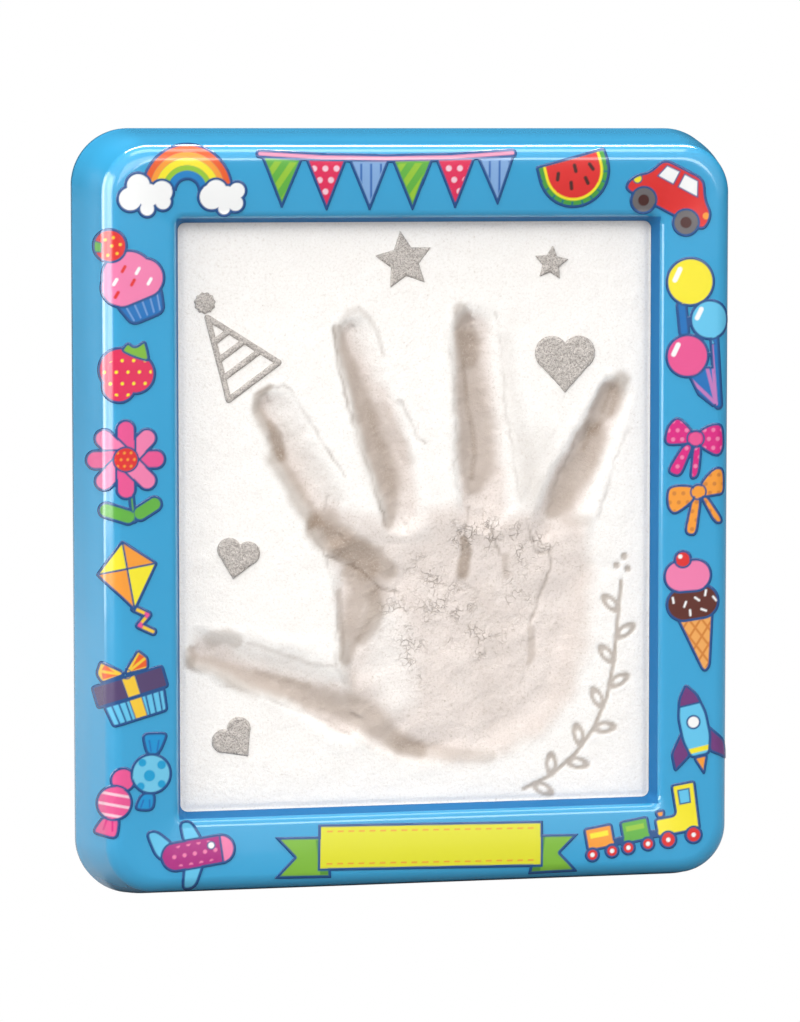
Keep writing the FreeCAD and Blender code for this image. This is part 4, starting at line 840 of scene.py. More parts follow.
class Print:
    """Ink on one sticker: colours laid one over another inside outline forms."""

    def __init__(self, x, z):
        self.x, self.z = x, z
        self.ink = np.tile(np.array(linear(COLOURS["navy"])[:3]), (len(x), 1))

    def lay(self, colour, far):
        """Lays a colour where a signed distance is negative, blended over the width of an ink's edge."""
        cover = np.clip(0.5 - far * UNIT / INK_EDGE, 0, 1)[:, None]
        self.ink = self.ink * (1 - cover) + np.array(linear(COLOURS[colour])[:3]) * cover

    def fill(self, colour, *forms, within=None, edge=0.0):
        """Lays a colour inside forms, kept within others, with a navy edge of a width in millimetres."""
        far = nearest_form(forms, self.x, self.z)
        if within:
            far = np.maximum(far, nearest_form(within, self.x, self.z))
        if edge:
            self.lay("navy", far)
        self.lay(colour, far + edge / UNIT)


def print_rainbow(ink):
    """Five bands, then the two clouds over their feet."""
    bands = ["flame", "orange", "yellow", "lime", "blue"]
    radii = [0.505, 0.43, 0.365, 0.285, 0.225, 0.145]
    for colour, outer, inner in zip(bands, radii, radii[1:]):
        ink.fill(colour, ("arch", 0.05, -0.10, outer, inner))
    clouds = STICKERS["rainbow"][2][1:]
    ink.fill("white", *clouds[:6], edge=0.7)
    ink.fill("white", *clouds[6:], edge=0.7)


def print_bunting(ink):
    """Flags in three looks in turn, then the tape that they hang from."""
    forms = STICKERS["bunting"][2]
    looks = [("leaf", "lime", ("stripes", -35, 0.15, 0.07, 0.2)),
             ("crimson", "pale_pink", ("dots", 0.13, 0.034)),
             ("steel_blue", "deep_blue", ("stripes", 0, 0.115, 0.022, 0.1))]
    for index, flag in enumerate(forms[4:]):
        base, mark, pattern = looks[index % 3]
        ink.fill(base, flag, edge=0.5)
        ink.fill(mark, pattern, within=[("poly", *shrunk(flag[1:], 0.72))])
    ink.fill("tape", *[(*stretch[:5], 0.036) for stretch in forms[:4]])


def shrunk(corners, share):
    """Corners drawn in towards their middle."""
    middle = np.mean(corners, axis=0)
    return [tuple((middle + (np.array(c) - middle) * share).tolist()) for c in corners]


def print_melon(ink):
    """Rind, yellow edge and red flesh, with seeds and dark marks round the rind."""
    for colour, half in (("rind", 0.40), ("yellow", 0.345), ("red", 0.315)):
        ink.fill(colour, ("bowl", 0, 0.06, half),
                 ("poly", (-half, 0.19), (half, 0.19), (half, 0.05), (0.8 * half, -0.14),
                  (-0.8 * half, -0.14), (-half, 0.05)))
    seeds = ((-0.2, 0.04, -20), (-0.07, -0.1, -8), (0.02, 0.08, 0), (0.12, -0.09, 12), (0.21, 0.05, 22))
    for x, z, tilt in seeds:
        top = turned(0, 0.035, tilt)
        ink.fill("seed", ("bar", x - top[0], z - top[1], x + top[0], z + top[1], 0.021))
    for angle in range(200, 345, 18):
        x, z = turned(1, 0, angle)
        ink.fill("teal", ("bar", 0.40 * x, 0.06 + 0.40 * z, 0.365 * x, 0.06 + 0.365 * z, 0.012))


def print_car(ink):
    """Body with two windows, a lamp and two wheels."""
    body = STICKERS["car"][2][0]
    ink.fill("red", body, edge=0.7)
    ink.fill("white", ("poly", (-0.25, 0.14), (-0.20, 0.31), (-0.02, 0.32), (-0.02, 0.14)),
             ("poly", (0.03, 0.14), (0.03, 0.32), (0.22, 0.32), (0.31, 0.14)), edge=0.35)
    ink.fill("yellow", ("disc", -0.44, 0.01, 0.06), edge=0.35)
    ink.fill("orange", ("disc", 0.49, 0.0, 0.04))
    for x in (-0.256, 0.314):
        ink.fill("grey", ("disc", x, -0.174, 0.165), edge=0.6)
        ink.fill("seed", ("disc", x, -0.174, 0.066))


def print_balloons(ink):
    """Three strings that meet below three balloons with a gleam on each."""
    ink.fill("cup", *STICKERS["balloons"][2])
    for (_, x, z, r), colour in zip(STICKERS["balloons"][2], ("yellow", "sky", "rose")):
        ink.fill("string", ("bar", x + 0.02, z - r, 0.24, -0.84, 0.02))
        neck = z - r - 0.05
        ink.fill(colour, ("poly", (x - 0.05, neck), (x + 0.07, neck), (x + 0.01, neck + 0.13)), edge=0.3)
        ink.fill(colour, ("disc", x, z, r), edge=0.6)
        ink.fill("white", ("bar", x - 0.62 * r, z + 0.02, x - 0.42 * r, z + 0.5 * r, 0.028))


def print_bow(ink, colour, dot, forms):
    """Two tails and then two loops, all of them dotted, and a knot."""
    for form in forms[2:4] + forms[:2]:
        ink.fill(colour, form, edge=0.6)
        ink.fill(dot, ("dots", 0.105, 0.024), within=[("poly", *shrunk(form[1:], 0.8))])
    ink.fill(colour, forms[4], edge=0.5)


def print_bow_dotted(ink):
    """Magenta bow with pink dots."""
    print_bow(ink, "magenta", "pink", STICKERS["bow_dotted"][2])
    ink.fill("rose", ("disc", 0.0, 0.11, 0.075))


def print_bow_plain(ink):
    """Orange bow with faint dots."""
    print_bow(ink, "orange", "waffle", STICKERS["bow_plain"][2])


def print_ice_cream(ink):
    """Cone with crossed lines, two scoops with sprinkles on the lower one, and a cherry."""
    forms = STICKERS["ice_cream"][2]
    ink.fill("cone", forms[3], edge=0.7)
    for tilt in (-32, 38):
        inside = ("poly", *shrunk(forms[3][1:], 0.84))
        ink.fill("waffle", ("stripes", tilt, 0.12, 0.026, 0.3), within=[inside])
    ink.fill("brown", forms[2], edge=0.7)
    for x, z, degrees in ((-0.22, 0.12, 100), (-0.08, 0.07, 70), (0.06, 0.13, 145), (0.16, 0.2, 80),
                          (-0.02, -0.03, 95), (0.14, 0.0, 160), (0.27, 0.13, 130)):
        run, rise = turned(0.03, 0, degrees)
        ink.fill("white", ("bar", x - run, z - rise, x + run, z + rise, 0.012))
    ink.fill("pink", forms[1], edge=0.7)
    ink.fill("red", forms[0], edge=0.6)
    ink.fill("white", ("disc", -0.14, 0.63, 0.025))


def print_rocket(ink):
    """Flame, fins, hull, nose, window and a band."""
    body, left, right, flame = STICKERS["rocket"][2]
    ink.fill("orange", flame, edge=0.5)
    ink.fill("purple", left, right, edge=0.6)
    ink.fill("sky", body, edge=0.6)
    nose = ("poly", (0.0, 0.56), (0.12, 0.40), (0.155, 0.28), (-0.155, 0.28), (-0.12, 0.40))
    ink.fill("purple", nose, edge=0.5)
    ink.fill("white", ("disc", 0, 0.08, 0.085), edge=0.5)
    ink.fill("yellow", ("poly", (-0.13, -0.22), (0.13, -0.22), (0.12, -0.28), (-0.12, -0.28)))


def print_train(ink):
    """Engine with a window, two wagons with goods, and wheels."""
    forms = STICKERS["train"][2]
    ink.fill("orange", forms[1], edge=0.4)
    ink.fill("yellow", forms[0], edge=0.6)
    ink.fill("sky", ("poly", (0.49, 0.36), (0.64, 0.36), (0.63, 0.18), (0.49, 0.18)), edge=0.4)
    ink.fill("leaf", forms[2], edge=0.6)
    ink.fill("orange", forms[3], edge=0.6)
    for middle, colour in ((-0.08, "lime"), (-0.52, "yellow")):
        left, right = middle - 0.11, middle + 0.11
        ink.fill(colour, ("poly", (left, 0.05), (right, 0.05), (right, -0.01), (left, -0.01)))
    for form in forms[5:]:
        ink.fill("red", form, edge=0.6)
        ink.fill("white", ("disc", form[1], form[2], 0.026))


def print_banner(ink):
    """Ribbon ends with their folds, and a bare plate with rows of stitches."""
    plate, left, right = STICKERS["banner"][2]
    ink.fill("ribbon", left, right, edge=0.6)
    ink.fill("ribbon_dark", ("poly", (-1.36, 0.1), (-1.2, 0.1), (-1.17, -0.3), (-1.30, -0.3)),
             ("poly", (1.36, 0.1), (1.2, 0.1), (1.17, -0.3), (1.30, -0.3)))
    ink.fill("banner", plate, edge=0.7)
    for z in (0.195, -0.18):
        for x in np.arange(-1.22, 1.2, 0.125):
            ink.fill("stitch", ("bar", x, z, x + 0.055, z, 0.008))


def print_plane(ink):
    """Wings, tail, dotted hull with a pink nose, and a window."""
    body, wing, low_wing, tail = STICKERS["plane"][2]
    ink.fill("sky", wing, low_wing, edge=0.6)
    ink.fill("sky", tail, edge=0.6)
    ink.fill("violet", body, edge=0.6)
    ink.fill("pink", ("dots", 0.12, 0.024), within=[("bar", -0.16, 0.0, 0.16, 0.0, 0.12)])
    ink.fill("pink", body, within=[("poly", (0.30, 0.3), (0.6, 0.3), (0.6, -0.3), (0.30, -0.3))], edge=0.6)
    ink.fill("white", ("disc", 0.20, 0.06, 0.05), edge=0.35)


def print_sweets(ink):
    """Two wrapped sweets with creased wrappers, one striped and one dotted."""
    front, high_knot, low_knot, back, link, tail = STICKERS["sweets"][2]
    ink.fill("rose", tail, link, edge=0.6)
    ink.fill("magenta", ("bar", -0.26, -0.36, -0.30, -0.48, 0.012),
             ("bar", -0.20, -0.37, -0.20, -0.50, 0.012))
    ink.fill("rose", back, edge=0.6)
    ink.fill("pale_pink", ("stripes", 78, 0.12, 0.03, 0.5), within=[("disc", -0.18, -0.18, 0.18)])
    ink.fill("knot", high_knot, edge=0.6)
    ink.fill("knot", low_knot, edge=0.6)
    ink.fill("cup", ("bar", 0.24, 0.4, 0.22, 0.52, 0.01), ("bar", 0.31, 0.4, 0.33, 0.52, 0.01),
             ("bar", 0.15, -0.16, 0.12, -0.24, 0.01), ("bar", 0.22, -0.16, 0.22, -0.24, 0.01))
    ink.fill("candy", front, edge=0.6)
    ink.fill("candy_dot", ("disc", 0.22, 0.12, 0.065), ("disc", 0.14, 0.27, 0.045),
             ("disc", 0.36, 0.24, 0.05), ("disc", 0.36, 0.02, 0.045), ("disc", 0.12, 0.0, 0.045))


def print_gift(ink):
    """Striped box, lid, ribbon and bow."""
    lid, body, left, right = STICKERS["gift"][2]
    ink.fill("sky", body, edge=0.7)
    for x in (-0.26, -0.18, -0.10, 0.14, 0.22, 0.30):
        ink.fill("navy", ("bar", x, -0.13, x * 0.9, -0.37, 0.010))
    ink.fill("plum", lid, edge=0.7)
    ink.fill("gold", ("poly", (-0.08, 0.13), (0.09, 0.13), (0.10, -0.38), (-0.05, -0.38)), edge=0.3)
    for form, side in ((left, -1), (right, 1)):
        ink.fill("gold", form, edge=0.6)
        ink.fill("flame", ("poly", (side * 0.08 - 0.02, 0.17), (side * 0.27, 0.17), (side * 0.26, 0.25)),
                 ("poly", (side * 0.10 - 0.02, 0.21), (side * 0.25, 0.28), (side * 0.20, 0.33)))
    ink.fill("gold", ("disc", 0.0, 0.15, 0.06), edge=0.3)


def print_kite(ink):
    """Kite in four quarters with its spars, and a tail with two knots."""
    top, right, low, left = (-0.02, 0.56), (0.34, 0.22), (-0.02, -0.28), (-0.38, 0.22)
    middle = (-0.02, 0.22)
    ink.fill("gold", *STICKERS["kite"][2][1:])
    ink.fill("yellow", STICKERS["kite"][2][0], edge=0.7)
    cloth = ("poly", *shrunk([top, right, low, left], 0.9))
    ink.fill("orange", ("poly", top, right, middle), ("poly", low, left, middle), within=[cloth])
    ink.fill("navy", ("bar", *top, *low, 0.011), ("bar", *left, *right, 0.011))
    ink.fill("rose", ("disc", 0.12, -0.34, 0.045), ("disc", 0.0, -0.44, 0.045))


def print_daisy(ink):
    """Stem, two leaves, eight petals in two pinks and a dotted middle."""
    ink.fill("leaf", ("bar", 0.02, -0.10, 0.07, -0.54, 0.026))
    ink.fill("leaf", ("bar", -0.24, -0.42, 0.0, -0.50, 0.085), ("bar", 0.14, -0.46, 0.30, -0.36, 0.085),
             edge=0.2)
    for k in range(8):
        x, z = turned(0.34, 0, k * 45)
        ink.fill("pink" if k % 2 else "rose", ("bar", -0.02, 0.15, -0.02 + x, 0.15 + z, 0.12), edge=0.6)
    ink.fill("red", ("disc", -0.02, 0.15, 0.15), edge=0.5)
    ink.fill("orange", ("dots", 0.075, 0.015), within=[("disc", -0.02, 0.15, 0.12)])


def print_strawberry(ink):
    """Berry with pips, and its leaf."""
    forms = STICKERS["strawberry"][2]
    ink.fill("crimson", *forms[:3], edge=0.7)
    ink.fill("yellow", ("dots", 0.13, 0.018),
             within=[("disc", -0.06, -0.06, 0.22), ("disc", 0.08, -0.02, 0.19)])
    ink.fill("ribbon", forms[3], edge=0.6)


def print_cupcake(ink):
    """Pleated cup, icing with sprinkles, and a strawberry on top."""
    forms = STICKERS["cupcake"][2]
    ink.fill("cup", forms[2], edge=0.7)
    for x in (-0.16, -0.06, 0.04, 0.14, 0.23):
        ink.fill("steel_blue", ("bar", x, -0.26, x * 0.82, -0.46, 0.007))
    ink.fill("pink", *forms[:2], edge=0.7)
    for x, z, colour in ((-0.16, 0.02, "white"), (-0.02, 0.12, "red"), (0.12, 0.04, "white"),
                         (0.02, -0.06, "red"), (0.2, -0.12, "white"), (-0.2, -0.12, "red")):
        ink.fill(colour, ("bar", x - 0.025, z - 0.02, x + 0.025, z + 0.02, 0.018))
    ink.fill("red", forms[3], edge=0.7)
    ink.fill("leaf", ("poly", (-0.26, 0.42), (-0.2, 0.55), (-0.12, 0.48), (-0.17, 0.38)), edge=0.3)
    ink.fill("gold", ("disc", -0.08, 0.50, 0.017), ("disc", 0.01, 0.49, 0.017), ("disc", -0.04, 0.41, 0.017),
             ("disc", 0.05, 0.39, 0.017), ("disc", -0.12, 0.33, 0.017), ("disc", -0.02, 0.31, 0.017))


# For each sticker a place in millimetres, a turn in degrees, and its cut forms about that place
STICKERS = {
    "rainbow": ((-67.3, 201.3), 0, [
        ("arch", 0.05, -0.10, 0.53, 0.12),
        ("disc", -0.60, -0.19, 0.16), ("disc", -0.51, -0.04, 0.16), ("disc", -0.24, -0.11, 0.15),
        ("disc", -0.23, -0.22, 0.12), ("disc", -0.41, -0.30, 0.11), ("disc", -0.40, -0.15, 0.16),
        ("disc", 0.33, -0.17, 0.17), ("disc", 0.38, -0.10, 0.15), ("disc", 0.62, -0.10, 0.12),
        ("disc", 0.60, -0.24, 0.12), ("disc", 0.47, -0.30, 0.10), ("disc", 0.50, -0.16, 0.14)]),
    "bunting": ((-10.1, 201.7), 0, [
        ("bar", -1.47, 0.295, -0.75, 0.255, 0.05), ("bar", -0.75, 0.255, 0.00, 0.242, 0.05),
        ("bar", 0.00, 0.242, 0.75, 0.255, 0.05), ("bar", 0.75, 0.255, 1.47, 0.300, 0.05),
        ("poly", (-1.46, 0.28), (-0.97, 0.25), (-1.22, -0.33)),
        ("poly", (-0.95, 0.25), (-0.46, 0.24), (-0.70, -0.36)),
        ("poly", (-0.45, 0.24), (0.04, 0.24), (-0.20, -0.36)),
        ("poly", (0.05, 0.24), (0.54, 0.25), (0.30, -0.36)),
        ("poly", (0.55, 0.25), (1.03, 0.26), (0.80, -0.34)),
        ("poly", (1.04, 0.26), (1.49, 0.28), (1.30, -0.30))]),
    "melon": ((43.5, 202.8), 14.6, [
        ("poly", (-0.43, 0.22), (0.43, 0.22), (0.43, 0.06), (0.34, -0.16), (-0.34, -0.16), (-0.43, 0.06)),
        ("bowl", 0.00, 0.06, 0.43)]),
    "car": ((71.0, 196.8), -27.2, [
        ("poly", (-0.47, 0.06), (-0.35, 0.15), (-0.27, 0.37), (0.28, 0.38), (0.40, 0.17), (0.56, 0.05),
         (0.56, -0.18), (-0.52, -0.18), (-0.54, -0.06)),
        ("disc", -0.256, -0.174, 0.165), ("disc", 0.314, -0.174, 0.165)]),
    "balloons": ((78.9, 158.8), 0, [
        ("disc", -0.07, 0.58, 0.29), ("disc", 0.16, 0.14, 0.24), ("disc", -0.10, -0.28, 0.26),
        ("bar", -0.17, 0.30, -0.14, 0.00, 0.07), ("bar", 0.21, 0.00, 0.27, -0.85, 0.06),
        ("poly", (-0.10, -0.50), (0.10, -0.40), (0.24, -0.40), (0.30, -0.86), (0.20, -0.88), (0.02, -0.74))]),
    "bow_dotted": ((78.9, 125.9), 0, [
        ("poly", (-0.38, 0.02), (-0.36, 0.24), (-0.24, 0.38), (-0.14, 0.34), (0.00, 0.18), (0.00, 0.04)),
        ("poly", (0.00, 0.20), (0.20, 0.30), (0.34, 0.28), (0.36, -0.02), (0.26, -0.13), (0.00, 0.03)),
        ("poly", (-0.14, 0.08), (-0.36, -0.28), (-0.17, -0.36), (0.00, 0.05)),
        ("poly", (-0.04, 0.06), (-0.08, -0.38), (0.05, -0.35), (0.09, 0.06)), ("disc", 0.00, 0.11, 0.11)]),
    "bow_plain": ((79.3, 110.6), 0, [
        ("poly", (0.00, 0.02), (-0.26, -0.17), (-0.36, -0.06), (-0.36, 0.17), (-0.24, 0.22), (0.00, 0.20)),
        ("poly", (0.02, 0.22), (0.20, 0.42), (0.34, 0.40), (0.35, 0.08), (0.20, 0.06), (0.02, 0.03)),
        ("poly", (-0.06, 0.10), (-0.16, -0.38), (0.01, -0.41), (0.07, 0.08)),
        ("poly", (0.02, 0.08), (0.22, -0.28), (0.35, -0.24), (0.12, 0.10)), ("disc", 0.02, 0.12, 0.10)]),
    "ice_cream": ((78.1, 79.9), 0, [
        ("disc", -0.11, 0.60, 0.11), ("bar", -0.14, 0.40, 0.04, 0.41, 0.20),
        ("bar", -0.10, 0.07, 0.12, 0.10, 0.21),
        ("poly", (-0.20, -0.06), (0.26, -0.01), (0.23, -0.66), (0.18, -0.73), (0.12, -0.72))]),
    "rocket": ((79.1, 46.0), 12, [
        ("poly", (0.00, 0.56), (0.12, 0.40), (0.18, 0.16), (0.18, -0.12), (0.12, -0.34), (-0.12, -0.34),
         (-0.18, -0.12), (-0.18, 0.16), (-0.12, 0.40)),
        ("poly", (-0.16, 0.02), (-0.34, -0.22), (-0.34, -0.46), (-0.10, -0.30)),
        ("poly", (0.16, 0.02), (0.34, -0.22), (0.34, -0.46), (0.10, -0.30)),
        ("poly", (-0.10, -0.32), (0.00, -0.58), (0.10, -0.32))]),
    "train": ((63.7, 18.1), 9, [
        ("poly", (0.42, 0.44), (0.72, 0.44), (0.70, -0.16), (0.16, -0.16), (0.16, 0.08), (0.42, 0.08)),
        ("poly", (0.20, 0.06), (0.18, 0.17), (0.32, 0.17), (0.30, 0.06)),
        ("poly", (-0.26, 0.13), (0.10, 0.13), (0.10, -0.16), (-0.26, -0.16)),
        ("poly", (-0.70, 0.13), (-0.34, 0.13), (-0.34, -0.16), (-0.70, -0.16)),
        ("bar", -0.60, -0.10, 0.40, -0.10, 0.05),
        ("disc", 0.29, -0.20, 0.11), ("disc", 0.60, -0.20, 0.11), ("disc", -0.20, -0.20, 0.09),
        ("disc", 0.04, -0.20, 0.09), ("disc", -0.64, -0.20, 0.09), ("disc", -0.40, -0.20, 0.09)]),
    "banner": ((2.4, 14.9), -1, [
        ("poly", (-1.33, 0.28), (1.33, 0.28), (1.33, -0.26), (-1.33, -0.26)),
        ("poly", (-1.84, 0.14), (-1.20, 0.14), (-1.17, -0.34), (-1.84, -0.34), (-1.61, -0.10)),
        ("poly", (1.76, 0.12), (1.20, 0.12), (1.17, -0.34), (1.76, -0.32), (1.54, -0.10))]),
    "plane": ((-64.8, 15.3), 8, [
        ("bar", -0.22, 0.00, 0.30, 0.00, 0.18),
        ("poly", (-0.12, 0.10), (0.14, 0.10), (0.02, 0.40), (-0.14, 0.40)),
        ("poly", (-0.14, -0.06), (0.14, -0.06), (-0.04, -0.40), (-0.22, -0.40)),
        ("poly", (-0.30, -0.08), (-0.20, 0.14), (-0.40, 0.36), (-0.54, 0.34), (-0.46, 0.02))]),
    "sweets": ((-82.8, 34.6), 0, [
        ("disc", 0.24, 0.14, 0.24), ("poly", (0.12, 0.62), (0.46, 0.62), (0.34, 0.34), (0.18, 0.34)),
        ("poly", (0.12, -0.06), (0.30, -0.06), (0.28, -0.30), (0.02, -0.28)),
        ("disc", -0.18, -0.18, 0.21), ("disc", -0.08, 0.08, 0.15),
        ("poly", (-0.30, -0.30), (-0.10, -0.34), (-0.14, -0.62), (-0.46, -0.52))]),
    "gift": ((-82.6, 62.4), 16, [
        ("poly", (-0.43, 0.14), (0.43, 0.14), (0.43, -0.14), (-0.43, -0.14)),
        ("poly", (-0.36, -0.12), (0.38, -0.12), (0.34, -0.40), (-0.32, -0.40)),
        ("poly", (-0.02, 0.14), (-0.30, 0.12), (-0.34, 0.26), (-0.24, 0.40), (-0.02, 0.20)),
        ("poly", (-0.02, 0.14), (0.26, 0.12), (0.30, 0.26), (0.20, 0.40), (-0.02, 0.20))]),
    "kite": ((-81.9, 89.9), 10, [
        ("poly", (-0.02, 0.56), (0.34, 0.22), (-0.02, -0.28), (-0.38, 0.22)),
        ("bar", -0.02, -0.24, 0.12, -0.34, 0.05), ("bar", 0.12, -0.34, 0.00, -0.44, 0.05),
        ("bar", 0.00, -0.44, 0.14, -0.54, 0.05)]),
    "daisy": ((-83.0, 121.6), 0, [
        ("petals", -0.02, 0.15, 0.34, 0.12), ("disc", -0.02, 0.15, 0.20),
        ("bar", 0.02, -0.10, 0.07, -0.54, 0.04), ("bar", -0.24, -0.42, 0.00, -0.50, 0.10),
        ("bar", 0.14, -0.46, 0.30, -0.36, 0.10)]),
    "strawberry": ((-82.8, 149.3), 0, [
        ("disc", -0.08, 0.03, 0.26), ("disc", 0.08, -0.02, 0.24), ("disc", -0.10, -0.16, 0.20),
        ("poly", (-0.10, 0.24), (0.00, 0.36), (0.08, 0.28), (0.20, 0.38), (0.24, 0.24), (0.26, 0.10),
         (0.06, 0.16))]),
    "cupcake": ((-82.3, 175.0), 22, [
        ("disc", 0.00, 0.02, 0.31), ("bar", -0.12, -0.06, 0.16, -0.06, 0.24),
        ("poly", (-0.28, -0.20), (0.32, -0.20), (0.24, -0.52), (-0.18, -0.52)),
        ("disc", -0.06, 0.42, 0.20)]),
}

PRINTS = {
    "rainbow": print_rainbow, "bunting": print_bunting, "melon": print_melon, "car": print_car,
    "balloons": print_balloons, "bow_dotted": print_bow_dotted, "bow_plain": print_bow_plain,
    "ice_cream": print_ice_cream, "rocket": print_rocket, "train": print_train, "banner": print_banner,
    "plane": print_plane, "sweets": print_sweets, "gift": print_gift, "kite": print_kite,
    "daisy": print_daisy, "strawberry": print_strawberry, "cupcake": print_cupcake,
}

# How far from each corner the outline starts to turn, in shares of the member's width
CORNER_REACH = {
    "car": 0.11, "gift": 0.05, "bow_dotted": 0.12, "bow_plain": 0.12, "sweets": 0.10, "strawberry": 0.07,
    "cupcake": 0.10, "ice_cream": 0.06, "plane": 0.10, "rocket": 0.06, "train": 0.05, "kite": 0.03,
    "melon": 0.03, "bunting": 0.03,
}


def softened(corners, reach):
    """Corner points with each corner turned into a short quadratic curve between its two sides."""
    points = []
    t = np.linspace(0, 1, 5)[:, None]
    for k in range(len(corners)):
        before, middle, after = np.array([corners[k - 1], corners[k], corners[(k + 1) % len(corners)]])
        start, end = [middle + (side - middle) * min(reach / math.hypot(*(side - middle)), 0.45)
                      for side in (before, after)]
        curve = (1 - t) ** 2 * start + 2 * t * (1 - t) * middle + t ** 2 * end
        points += [tuple(point) for point in curve.tolist()]
    return points


# The cornered forms are softened once, before any sticker is cut or printed
for name, reach in CORNER_REACH.items():
    forms = STICKERS[name][2]
    forms[:] = [("poly", *softened(form[1:], reach)) if form[0] == "poly" else form for form in forms]


def frame_inset(x, z):
    """Inset, in millimetres, of the rounded rectangle through each point.

    Along the sides it is the smaller distance to a side. In a corner it is the root of the quadratic that
    puts the point on the arc, whose radius falls with the inset.
    """
    across = WIDTH / 2 - np.abs(x)
    up = HEIGHT / 2 - np.abs(z - MIDDLE)
    inset = np.minimum(across, up)
    shrink = (CORNER - WINDOW_CORNER) / MEMBER
    px = np.abs(x) - (WIDTH / 2 - CORNER)
    pz = np.abs(z - MIDDLE) - (HEIGHT / 2 - CORNER)
    a = 2 * (1 - shrink) ** 2 - shrink ** 2
    b = 2 * (1 - shrink) * (px + pz) + 2 * CORNER * shrink
    c = px ** 2 + pz ** 2 - CORNER ** 2
    under = b * b - 4 * a * c
    root = (-b + np.sqrt(np.maximum(under, 0))) / (2 * a)
    reach = (1 - shrink) * root
    in_corner = (under > 0) & (root < 1.2 * MEMBER) & (px + reach > 0) & (pz + reach > 0)
    return np.where(in_corner, root, inset)


def on_face(x, z):
    """Places flat artwork on the outside: each point slides along its line of sight to the surface.

    On the right half it slides only up or down. The depth is found by halving, again and again, the way
    between the last depth and the surface's own.
    """
    eye_x, eye_y, eye_z = EYE
    lean_x = np.where(x < 0, (x - eye_x) / (1 - eye_y), 0)
    lean_z = (z - MIDDLE - eye_z) / (1 - eye_y)
    past = np.maximum(x - (WIDTH / 2 - SIDE_ROOM), 0)
    turned_in = x - (1 - SIDE_SQUEEZE_SHARE) * past
    depth = np.ones_like(x)
    for _ in range(40):
        at_x = turned_in + lean_x * (depth - 1)
        at_z = z + lean_z * (depth - 1)
        depth = 0.5 * (depth + face_depth(np.clip(frame_inset(at_x, at_z), 0, LIP_START)))
    return turned_in + lean_x * (depth - 1), depth, z + lean_z * (depth - 1)


def square_grid(reach, step):
    """Square grid of x and z about zero, and its step, adjusted so that whole steps fill it."""
    side = np.linspace(-reach, reach, int(2 * reach / step) + 1)
    return *np.meshgrid(side, side), side[1] - side[0]


def sticker(name, finish):
    """Thin sheet cut from a fine grid, printed on, laid on the face and given a thickness."""
    (centre_x, centre_z), degrees, forms = STICKERS[name]
    flat_x, flat_z, step = square_grid(UNIT * (2 if name in WIDE_STICKERS else 1), STICKER_GRID)
    local = turned(flat_x, flat_z, -degrees)
    far = nearest_form(forms, local[0] / UNIT, local[1] / UNIT) * UNIT
    kept, used, flat_x, flat_z = cut_out(flat_x, flat_z, far, step)
    local_x, local_z = turned(flat_x, flat_z, -degrees)
    faces, _ = cut_faces(kept, used)
    x, depth, z = on_face(flat_x[used] + centre_x, flat_z[used] + centre_z)
    points = np.column_stack([x, depth, z])
    obj = piece("print_" + name, points, [faces], [finish], "sticker_" + name)
    ink = Print(local_x[used] / UNIT, local_z[used] / UNIT)
    PRINTS[name](ink)
    ink.lay("navy", -(nearest_form(forms, ink.x, ink.z) + NAVY_BORDER / UNIT))
    paint_points(obj, "ink", ink.ink)
    wall = obj.modifiers.new("thickness", "SOLIDIFY")
    wall.thickness = STICKER * 0.001
    wall.offset = 1.0


# Glitter card shapes on the clay

GLITTER_GRID = 0.22
POMPOM_NOTCHES = 11
HAT_BAR = 0.85
HAT_STRIPE_SHARES = (0.30, 0.52, 0.74)


def star_outline(x, z, radius):
    """Five-pointed star: ten corners, every other one at half the radius."""
    corners = []
    for k in range(10):
        reach = radius if k % 2 == 0 else radius * 0.5
        corners.append(turned(reach, 0, 90 + 36 * k))
    return polygon_distance(x, z, corners)


def heart_outline(x, z, radius):
    """Two round lobes, and a four-cornered point below that meets them."""
    lobe_x, lobe_z, lobe = 0.45 * radius, 0.30 * radius, 0.55 * radius
    lobes = np.hypot(np.abs(x) - lobe_x, z - lobe_z) - lobe
    point = [(-0.945 * radius, 0.05 * radius), (0, 0.62 * radius), (0.945 * radius, 0.05 * radius),
             (0, -0.98 * radius)]
    return np.minimum(lobes, polygon_distance(x, z, point))


def hat_outline(x, z, radius):
    """Party hat cut as a frame of bars, with stripes from side to side, parallel to its brim."""
    top, right, low = radius * np.array([(-0.864, 1.136), (1.0, -0.045), (-0.318, -1.0)])
    bars = [(top, right), (right, low), (low, top)]
    bars += [(top + (right - top) * share, top + (low - top) * share) for share in HAT_STRIPE_SHARES]
    return nearest_form([("bar", *start, *end, HAT_BAR) for start, end in bars], x, z)


def pompom_outline(x, z, radius):
    """Ragged ball: a circle whose radius follows a sine of the angle."""
    return np.hypot(x, z) - radius * (0.95 + 0.05 * np.sin(POMPOM_NOTCHES * np.arctan2(z, x)))


# For each card an outline, a place and a radius in millimetres, and a turn in degrees
GLITTER_SHAPES = {
    "glitter_star_large": (star_outline, (-3.7, 179.1), 8.5, 8),
    "glitter_star_small": (star_outline, (38.6, 178.2), 5.1, -6),
    "glitter_heart_right": (heart_outline, (42.7, 150.3), 8.75, 0),
    "glitter_heart_left": (heart_outline, (-51.3, 96.8), 6.1, -12),
    "glitter_heart_low": (heart_outline, (-52.1, 45.8), 6.1, 38),
    "glitter_hat": (hat_outline, (-50.2, 151.6), 10.7, 0),
    "glitter_pompom": (pompom_outline, (-60.2, 167.8), 3.04, 0),
}


